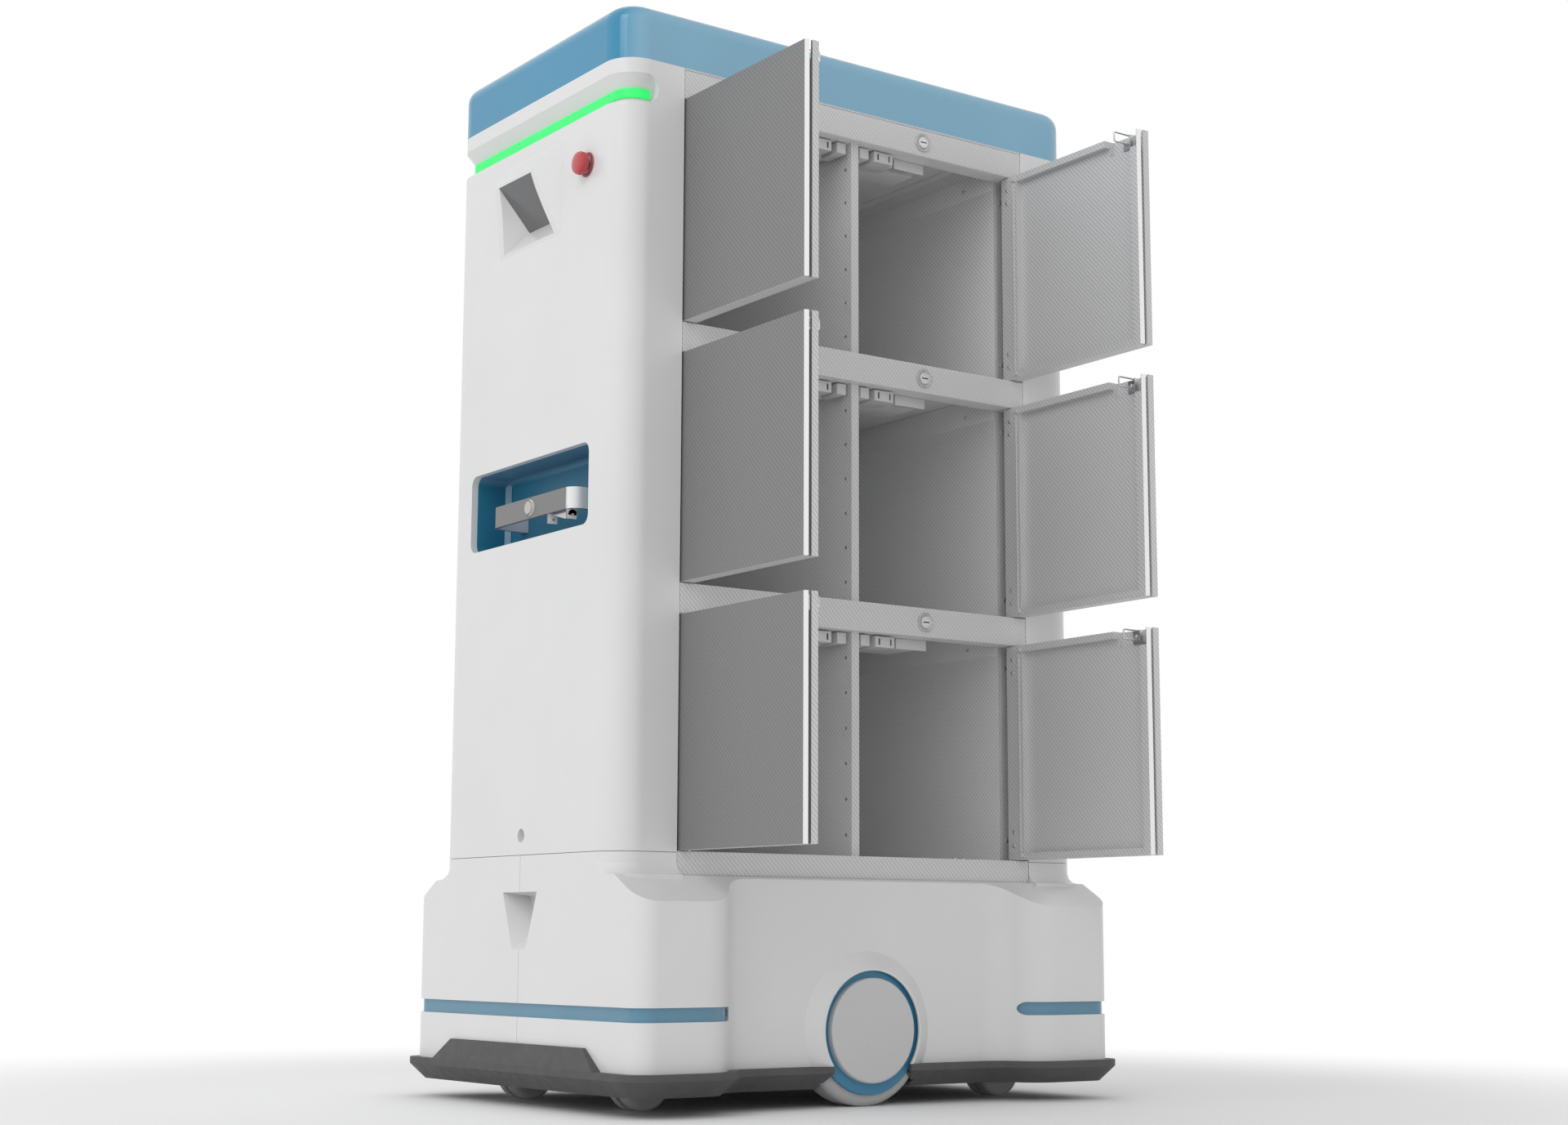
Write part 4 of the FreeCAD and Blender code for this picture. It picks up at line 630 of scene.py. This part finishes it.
# ------------------------------------------------------------ locks
LOCK_RADIUS = 0.014            # the CAD housing's
LOCK_SINK = 0.0004             # lock behind the rail's face
LOCK_SEGMENTS = 40
PLUG_SEGMENTS = 36
LOCK_RING = ((0.0086, 0.0), (0.0142, 0.0), (0.0142, 0.0016), (0.0136, 0.0024), (0.0124, 0.0026),
             (0.0112, 0.0020), (0.0096, 0.0008), (0.0086, 0.0006))
LOCK_PLUG = ((0.0082, 0.0004), (0.0082, 0.0026), (0.0076, 0.0032), (0.0060, 0.0032), (0.0059, 0.0014))
KEY_DISC_R = 0.0056
KEY_SLOT = 0.0020
KEY_DISC_SPAN = (0.0010, 0.0031)
KEYWAY_HALF = (0.0054, 0.0012)
KEYWAY_SPAN = (0.0012, 0.0019)


def locks(cabinet):
    """Cam locks on the rails: a dished ring, and a raised plug with a key slot that turns."""
    lock_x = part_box("lock_housings")[1].x - LOCK_RADIUS
    rings = bmesh.new()
    for side, sign in SIDES:
        for level, (low, high) in zip(LEVELS, cabinet.rails[1:]):
            place = (sign * lock_x, cabinet.face - LOCK_SINK, (low + high) / 2)
            revolved(rings, LOCK_RING, place, (0, 1, 0), LOCK_SEGMENTS, bored=True)
            body = f"lock_{side}_{level}"
            plug = bmesh.new()
            revolved(plug, LOCK_PLUG, place, (0, 1, 0), PLUG_SEGMENTS)
            slotted_disc(plug, place, KEY_DISC_R, KEY_SLOT, *KEY_DISC_SPAN)
            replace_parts(piece_from(plug, f"lock_key_plug_{side}_{level}", "lock_chrome", body),
                        f"lock_plug_{side}_{level}")
            # Painted shade: a black plate low in the key slot stands for the shade down the keyway.
            keyway = bmesh.new()
            half_x, half_z = KEYWAY_HALF
            block(keyway, (place[0] - half_x, place[1] + KEYWAY_SPAN[0], place[2] - half_z),
                  (place[0] + half_x, place[1] + KEYWAY_SPAN[1], place[2] + half_z), 0.0)
            piece_from(keyway, f"lock_keyway_{side}_{level}", "dark_gap", body)
    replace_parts(piece_from(rings, "lock_rings", "lock_ring"), "lock_housings")


# ------------------------------------------------------------ latches and strikers
LATCH_SLOT = (0.029, 0.039)    # from the robot's middle
LATCH_TOP_GAP = 0.002
LATCH_BACK = 0.030             # behind the shelf's front
LATCH_FRONT = 0.014            # ahead of the shelf's front

# Parts of a latch: x from and to, y from and to against the shelf's front, z from and to, softened edge.
# The heights are under the latch's top.
LATCH_PARTS = (
    (0.0130, LATCH_SLOT[0], -LATCH_BACK, LATCH_FRONT, 0.016, 0.0, 0.0009),
    (LATCH_SLOT[1], 0.0740, -LATCH_BACK, LATCH_FRONT, 0.016, 0.0, 0.0009),
    (LATCH_SLOT[0] - 0.0005, LATCH_SLOT[1] + 0.0005, -LATCH_BACK, 0.006 - LATCH_BACK, 0.016, 0.0, 0.0004),
    (0.0740, 0.0850, -LATCH_BACK, -0.001, 0.0135, 0.002, 0.0007),
    (0.0120, 0.1440, -LATCH_BACK - 0.062, 0.001 - LATCH_BACK, 0.010, -0.004 - LATCH_TOP_GAP, 0.0008),
    (0.0880, 0.1440, -0.0035, -0.0010, 0.0135, 0.0003 - LATCH_TOP_GAP, 0.0005),
)
LATCH_JOINTS = ((0.0450, 0.0475), (0.0660, 0.0680))
LATCH_JOINT_Y = (LATCH_FRONT - 0.0006, LATCH_FRONT + 0.0003)
LATCH_JOINT_Z = (0.0125, 0.0035)


def latches(cabinet):
    """Catches under the ceilings: a slotted head in front of a flat housing and its mounting plate."""
    front = cabinet.shelf_high.y
    heads, joints = bmesh.new(), bmesh.new()
    for floor, ceiling in cabinet.rows:
        top = ceiling - LATCH_TOP_GAP
        for sign in (1, -1):
            for x0, x1, y0, y1, below, above, edge in LATCH_PARTS:
                block(heads, (x0, front + y0, top - below), (x1, front + y1, top - above), edge, sign)
            for x0, x1 in LATCH_JOINTS:
                block(joints, (x0, front + LATCH_JOINT_Y[0], top - LATCH_JOINT_Z[0]),
                      (x1, front + LATCH_JOINT_Y[1], top - LATCH_JOINT_Z[1]), 0.0, sign)
    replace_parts(piece_from(heads, "latch_units", "latch_white"), "door_latches")
    piece_from(joints, "latch_joints", "dark_gap")


NOTCH_SKIN = 0.003             # sheet left behind the notch in a door
LOOP_HALF = 0.0068
LOOP_REACH = 0.0205            # from the door's inner face
LOOP_BEND = 0.0022
LOOP_WIRE = 0.0012
LOOP_DROP = 0.010              # loop's middle under the ceiling
STRIKER_PLATE = 0.0018
STRIKER_EDGE = 0.0005
STRIKER_Y = (-0.020, 0.0222)   # plate against the loop
STRIKER_Z = (-0.0105, 0.0080)
FOLD_X = (0.0110, 0.0010)
FOLD_Y = (0.0020, 0.0038)
FOLD_LOW = -0.0100
STRIKER_SCREW_Y = 0.0135
STRIKER_SCREW_R = 0.0036


def striker(body, sign):
    """Wire loop on its folded plate, in the notch of a door's free top corner."""
    panel_low, panel_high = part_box(f"{body}_panel")
    inner, outer = sorted((abs(panel_low.x), abs(panel_high.x)))
    seat = outer - NOTCH_SKIN
    loop_y = panel_low.y + outer - sum(LATCH_SLOT) / 2   # where the slot's middle comes when the door opens
    middle = panel_high.z + DOOR_PLAY - LOOP_DROP
    path = [(sign * seat, loop_y, middle + LOOP_HALF)]
    for centre, start in ((middle + LOOP_HALF - LOOP_BEND, 0.0), (middle - LOOP_HALF + LOOP_BEND, math.pi / 2)):
        for t in turns(ARC_STEPS, start, math.pi / 2, whole=False):
            reach = LOOP_REACH - LOOP_BEND * (1 - math.sin(t))
            path.append((sign * (inner - reach), loop_y, centre + LOOP_BEND * math.cos(t)))
    path.append((sign * seat, loop_y, middle - LOOP_HALF))
    builder = bmesh.new()
    wire(builder, path, LOOP_WIRE)
    block(builder, (seat - STRIKER_PLATE, loop_y + STRIKER_Y[0], middle + STRIKER_Z[0]),
          (seat, loop_y + STRIKER_Y[1], middle + STRIKER_Z[1]), STRIKER_EDGE, sign)
    block(builder, (seat - FOLD_X[0], loop_y + FOLD_Y[0], middle + FOLD_LOW),
          (seat - FOLD_X[1], loop_y + FOLD_Y[1], middle + STRIKER_Z[1]), FINE_EDGE, sign)
    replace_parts(piece_from(builder, f"{body}_loop", "striker_steel", body), f"{body}_striker")
    plate = sign * (seat - STRIKER_PLATE)
    places = [(plate, loop_y + shift, middle) for shift in (STRIKER_SCREW_Y, -STRIKER_SCREW_Y)]
    screws(f"{body}_striker_screws", places, (-sign, 0, 0), STRIKER_SCREW_R, body)


HINGE_SCREW_Y = 0.013          # from the hinge edge
HINGE_SCREW_ENDS = (0.020, 0.040)
HINGE_SCREW_R = 0.0029
BEAD_Y = 0.0255
BEAD_PROUD, BEAD_SUNK, BEAD_WIDTH = 0.0016, 0.0010, 0.0030
BEAD_END = 0.004
HOOK_PROUD, HOOK_HEIGHT = 0.0034, 0.006
HOOK_Y = (0.0010, 0.0070)      # from the bead


def hinge_strip(body, sign):
    """Screws on a door's hinge flange, and the bright bead beside them with a hook at each end."""
    low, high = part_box(f"{body}_panel")
    inner = min(abs(low.x), abs(high.x))
    places = []
    for rise in HINGE_SCREW_ENDS:
        places += [(sign * inner, low.y + HINGE_SCREW_Y, height) for height in (low.z + rise, high.z - rise)]
    screws(f"{body}_screws", places, (-sign, 0, 0), HINGE_SCREW_R, body)
    bead, sunk = low.y + BEAD_Y, inner + BEAD_SUNK
    bottom, top = low.z + BEAD_END, high.z - BEAD_END
    builder = bmesh.new()
    block(builder, (inner - BEAD_PROUD, bead, bottom), (sunk, bead + BEAD_WIDTH, top), sign=sign)
    for height in (bottom, top - HOOK_HEIGHT):
        block(builder, (inner - HOOK_PROUD, bead + HOOK_Y[0], height),
              (sunk, bead + HOOK_Y[1], height + HOOK_HEIGHT), sign=sign)
    piece_from(builder, f"{body}_bead", "hubcap_white", body)


def door_hardware():
    """Striker and hinge strip of every door."""
    bodies = [(f"door_{side}_{level}", sign) for side, sign in SIDES for level in LEVELS]
    for body, sign in bodies:
        striker(body, sign)
    for body, sign in bodies:
        hinge_strip(body, sign)


# ------------------------------------------------------------ emergency stop
COLLAR_PROUD = 0.0015          # the CAD collar's
STOP_RING = ((0.0137, -0.0006), (0.0176, -0.0006), (0.0176, 0.0006), (0.0164, 0.0018), (0.0142, 0.0020),
             (0.0137, 0.0020))
STOP_REACH = 0.0190
STOP_SEGMENTS = 48
STOP_R = 0.0156
STOP_HEAD = ((0.0132, 0.0044), (0.0132, STOP_REACH - 0.0130), (0.0150, STOP_REACH - 0.0128),
             (STOP_R, STOP_REACH - 0.0115), (STOP_R, STOP_REACH - 0.0042), (0.0146, STOP_REACH - 0.0022),
             (0.0120, STOP_REACH - 0.0008), (0.0060, STOP_REACH - 0.0002), (0.0020, STOP_REACH))
GRIP_COUNT = 24
GRIP = ((0.0006, 0.0), (0.0006, 0.0062))
GRIP_START = STOP_REACH - 0.0108


def stop_button():
    """Emergency stop: a ring on the cover and a stepped mushroom head, with grip ribs, that moves."""
    low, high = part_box("estop_button")
    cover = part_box("estop_collar")[1].x - COLLAR_PROUD
    y, z = (low.y + high.y) / 2, (low.z + high.z) / 2
    ring = bmesh.new()
    revolved(ring, STOP_RING, (cover, y, z), (1, 0, 0), STOP_SEGMENTS, bored=True)
    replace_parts(piece_from(ring, "estop_ring", "estop_steel"), "estop_collar")
    head = bmesh.new()
    revolved(head, STOP_HEAD, (cover, y, z), (1, 0, 0), STOP_SEGMENTS)
    for t in turns(GRIP_COUNT):
        place = (cover + GRIP_START, y + STOP_R * math.cos(t), z + STOP_R * math.sin(t))
        revolved(head, GRIP, place, (1, 0, 0), 6)
    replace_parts(piece_from(head, "estop_head", "estop_red", "estop"), "estop_button")


# ------------------------------------------------------------ handle
CRESCENT_R = 0.0116
CRESCENT_INNER_R = 0.0113
CRESCENT_WIDTH = 0.0022
CRESCENT_REACH = math.radians(88)
CRESCENT_TAPER = 0.98          # keeps a little width at the crescent's tips
CRESCENT_X = (-0.0004, 0.0007)

LEVER_PIVOT = (0.394, 0.800)   # x and z of the squeeze lever's axis
LEVER_R = 0.0074
# Lever's underside: (share of its length, height over the axis)
LEVER_UNDERSIDE = ((0.0, 0.0066), (0.12, 0.0060), (0.35, 0.0030), (0.6, -0.0010), (0.82, -0.0045),
                   (0.93, -0.0052), (0.98, -0.0036), (1.0, -0.0005))
LEVER_LIP = 0.0002
LEVER_CORNER = 0.98            # underside against the width over it

TRAY_BACK, TRAY_SIDE = 0.3452, -0.1650
TRAY_FLOOR, TRAY_TOP = 0.7792, 0.8898
HIGHLIGHT_INSET = 0.0068
HIGHLIGHT_THICKNESS = 0.0008


def button_crescent():
    """Bright crescent on the door-side half of the push button's rim: a painted highlight."""
    low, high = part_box("handle_button")
    y, z = (low.y + high.y) / 2, (low.z + high.z) / 2
    arc = turns(25, -CRESCENT_REACH, 2 * CRESCENT_REACH, whole=False)
    outline = [(y + CRESCENT_R * math.cos(t), z + CRESCENT_R * math.sin(t)) for t in arc]
    for t in reversed(arc):
        radius = CRESCENT_INNER_R - CRESCENT_WIDTH * math.cos(t * CRESCENT_TAPER)
        outline.append((y + radius * math.cos(t), z + radius * math.sin(t)))
    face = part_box("handle_bar")[1].x
    builder = bmesh.new()
    extruded(builder, outline, face + CRESCENT_X[0], face + CRESCENT_X[1])
    piece_from(builder, "handle_button_painted_glint", "crescent_painted_highlight")


def wedge_lever():
    """Squeeze lever: round over its axis, so that it turns clear of the bar, and a wedge below."""
    low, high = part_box("handle_lever")
    x, z = LEVER_PIVOT
    rings = []
    for share, height in LEVER_UNDERSIDE:
        y = low.y + (high.y - low.y) * share
        reach = math.acos(max(0.0, height / LEVER_R))
        ring = [(x + LEVER_R * math.sin(t), y, z + LEVER_R * math.cos(t))
                for t in turns(13, -reach, 2 * reach, whole=False)]
        base = z + min(height, LEVER_R * math.cos(reach)) - LEVER_LIP
        corner = LEVER_R * math.sin(reach) * LEVER_CORNER
        rings.append(ring + [(x + corner, y, base), (x - corner, y, base)])
    builder = bmesh.new()
    skin(builder, rings)
    lever = piece_from(builder, "handle_wedge", "lever_grey", "handle_release")
    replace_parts(lever, "handle_lever")


def tray_painted_highlight():
    """Pale upright strip in the tray's far back corner: a painted highlight along the corner."""
    corners = [(TRAY_BACK, TRAY_SIDE + HIGHLIGHT_INSET), (TRAY_BACK + HIGHLIGHT_INSET, TRAY_SIDE),
               (TRAY_BACK + HIGHLIGHT_INSET + HIGHLIGHT_THICKNESS, TRAY_SIDE + HIGHLIGHT_THICKNESS),
               (TRAY_BACK + HIGHLIGHT_THICKNESS, TRAY_SIDE + HIGHLIGHT_INSET + HIGHLIGHT_THICKNESS)]
    builder = bmesh.new()
    skin(builder, [[(x, y, z) for x, y in corners] for z in (TRAY_FLOOR, TRAY_TOP)])
    piece_from(builder, "tray_corner_painted_highlight", "tray_painted_highlight")


# ------------------------------------------------------------ studio
CAMERA_PLACE = (2.0449, 2.9000, 0.2237)
CAMERA_YAW = 234.34
CAMERA_PITCH = 8.97
CAMERA_ROLL = 0.2
CAMERA_LENS = 54.96


def make_camera():
    """The photo's camera."""
    yaw, pitch, roll = (math.radians(a) for a in (CAMERA_YAW, CAMERA_PITCH, CAMERA_ROLL))
    ahead = Vector((math.cos(yaw) * math.cos(pitch), math.sin(yaw) * math.cos(pitch), math.sin(pitch)))
    level = Vector((math.sin(yaw), -math.cos(yaw), 0.0))
    upright = level.cross(ahead)
    right = level * math.cos(roll) + upright * math.sin(roll)
    up = upright * math.cos(roll) - level * math.sin(roll)
    data = bpy.data.cameras.new("camera")
    data.lens = CAMERA_LENS
    data.sensor_width = 36.0
    data.clip_end = 100.0
    camera = bpy.data.objects.new("camera", data)
    camera.matrix_world = Matrix((right, up, -ahead)).transposed().to_4x4()
    camera.location = CAMERA_PLACE
    bpy.context.scene.collection.objects.link(camera)
    bpy.context.scene.camera = camera


def area_light(name, place, target, size, power):
    """Square lamp that looks at a target."""
    data = bpy.data.lights.new(name, "AREA")
    data.shape = "RECTANGLE"
    data.size = data.size_y = size
    data.energy = power
    lamp = bpy.data.objects.new(name, data)
    lamp.location = place
    lamp.rotation_mode = "QUATERNION"
    lamp.rotation_quaternion = (Vector(target) - Vector(place)).to_track_quat("-Z", "Y")
    bpy.context.scene.collection.objects.link(lamp)


def background_rays(g):
    """1 for rays that should see the plain white backdrop."""
    path = g.add("ShaderNodeLightPath").outputs
    seen = g.math("MAXIMUM", path["Is Camera Ray"], path["Is Glossy Ray"])
    return g.math("MAXIMUM", seen, path["Is Transmission Ray"])


AMBIENT = 0.62
AMBIENT_LEAN = (0.015, -0.36, 0.10)   # the room is dimmer beside the doors
GLOW = 1.0                            # soft light from one corner, which reaches into the cabinet
GLOW_FROM = (0.70, 0.70, 0.14)
GLOW_FALL = 3.0
FLOOR_FADE = (0.9, 1.9)
FLOOR_REACH = 40.0
FLOOR_PALE = (0.93, 0.93, 0.93)


class WorldGraph(Graph):
    """The same short names for the world's nodes."""

    def __init__(self, world):
        world.use_nodes = True
        self.tree = world.node_tree
        self.output = self.tree.nodes["World Output"]

    def toward(self, direction):
        """How far a ray points toward a direction."""
        node = self.add("ShaderNodeVectorMath", operation="DOT_PRODUCT")
        node.inputs[1].default_value = direction
        self.link(self.add("ShaderNodeTexCoord").outputs["Generated"], node.inputs[0])
        return node.outputs["Value"]


def make_world():
    """Soft room light that leans to one side, behind a plain white backdrop."""
    world = bpy.data.worlds.new("studio")
    bpy.context.scene.world = world
    g = WorldGraph(world)
    backdrop = g.tree.nodes["Background"]
    backdrop.inputs["Color"].default_value = (1.0, 1.0, 1.0, 1.0)
    backdrop.inputs["Strength"].default_value = 1.0
    room = g.add("ShaderNodeBackground")
    room.inputs["Color"].default_value = (1.0, 1.0, 1.0, 1.0)
    level = g.math("ADD", g.toward(AMBIENT_LEAN), AMBIENT)
    glow = g.math("POWER", g.math("MAXIMUM", g.toward(GLOW_FROM), 0.0), GLOW_FALL)
    g.link(g.math("ADD", level, g.math("MULTIPLY", glow, GLOW)), room.inputs["Strength"])
    mix = g.add("ShaderNodeMixShader")
    g.link(background_rays(g), mix.inputs["Fac"])
    g.link(room.outputs[0], mix.inputs[1])
    g.link(backdrop.outputs[0], mix.inputs[2])
    g.link(mix.outputs[0], g.output.inputs["Surface"])


def make_floor():
    """Pale floor that keeps the shadow near the robot and fades to plain white further out."""
    mesh = bpy.data.meshes.new("floor")
    corners = [(FLOOR_REACH * x, FLOOR_REACH * y, 0) for x, y in ((-1, -1), (1, -1), (1, 1), (-1, 1))]
    mesh.from_pydata(corners, [], [(0, 1, 2, 3)])
    floor = bpy.data.objects.new("floor", mesh)
    bpy.context.scene.collection.objects.link(floor)
    g = Graph("floor")
    g.set(Base_Color=FLOOR_PALE, Roughness=0.7, Specular_IOR_Level=0.0)
    plain = g.add("ShaderNodeEmission")
    plain.inputs["Strength"].default_value = 1.0
    distance = g.add("ShaderNodeVectorMath", operation="LENGTH")
    g.link(g.place(), distance.inputs[0])
    far = g.add("ShaderNodeMapRange", interpolation_type="SMOOTHSTEP")
    far.inputs["From Min"].default_value = FLOOR_FADE[0]
    far.inputs["From Max"].default_value = FLOOR_FADE[1]
    g.link(distance.outputs["Value"], far.inputs["Value"])
    amount = g.math("MULTIPLY", far.outputs["Result"], background_rays(g))
    mix = g.add("ShaderNodeMixShader")
    g.link(amount, mix.inputs["Fac"])
    g.link(g.shader.outputs[0], mix.inputs[1])
    g.link(plain.outputs[0], mix.inputs[2])
    g.link(mix.outputs[0], g.output.inputs["Surface"])
    mesh.materials.append(g.material)


KEY_PLACE = (3.2, 1.2, 3.4)
KEY_TARGET = (0.0, 0.0, 0.8)
KEY_SIZE = 1.6
KEY_POWER = 18.0


def make_studio():
    """Room light, floor and one soft key lamp."""
    bpy.context.scene.view_settings.view_transform = "Standard"
    make_world()
    make_floor()
    area_light("key", KEY_PLACE, KEY_TARGET, KEY_SIZE, KEY_POWER)


make_camera()
finishes = make_materials()
dress_nodes(finishes)
cabinet = Cabinet()
rail_faces(cabinet)
thin_shelves(cabinet)
shelf_angles(cabinet)
jambs(cabinet)
floor_studs(cabinet)
locks(cabinet)
latches(cabinet)
door_hardware()
stop_button()
button_crescent()
wedge_lever()
tray_painted_highlight()
rail_feet(cabinet)
make_studio()
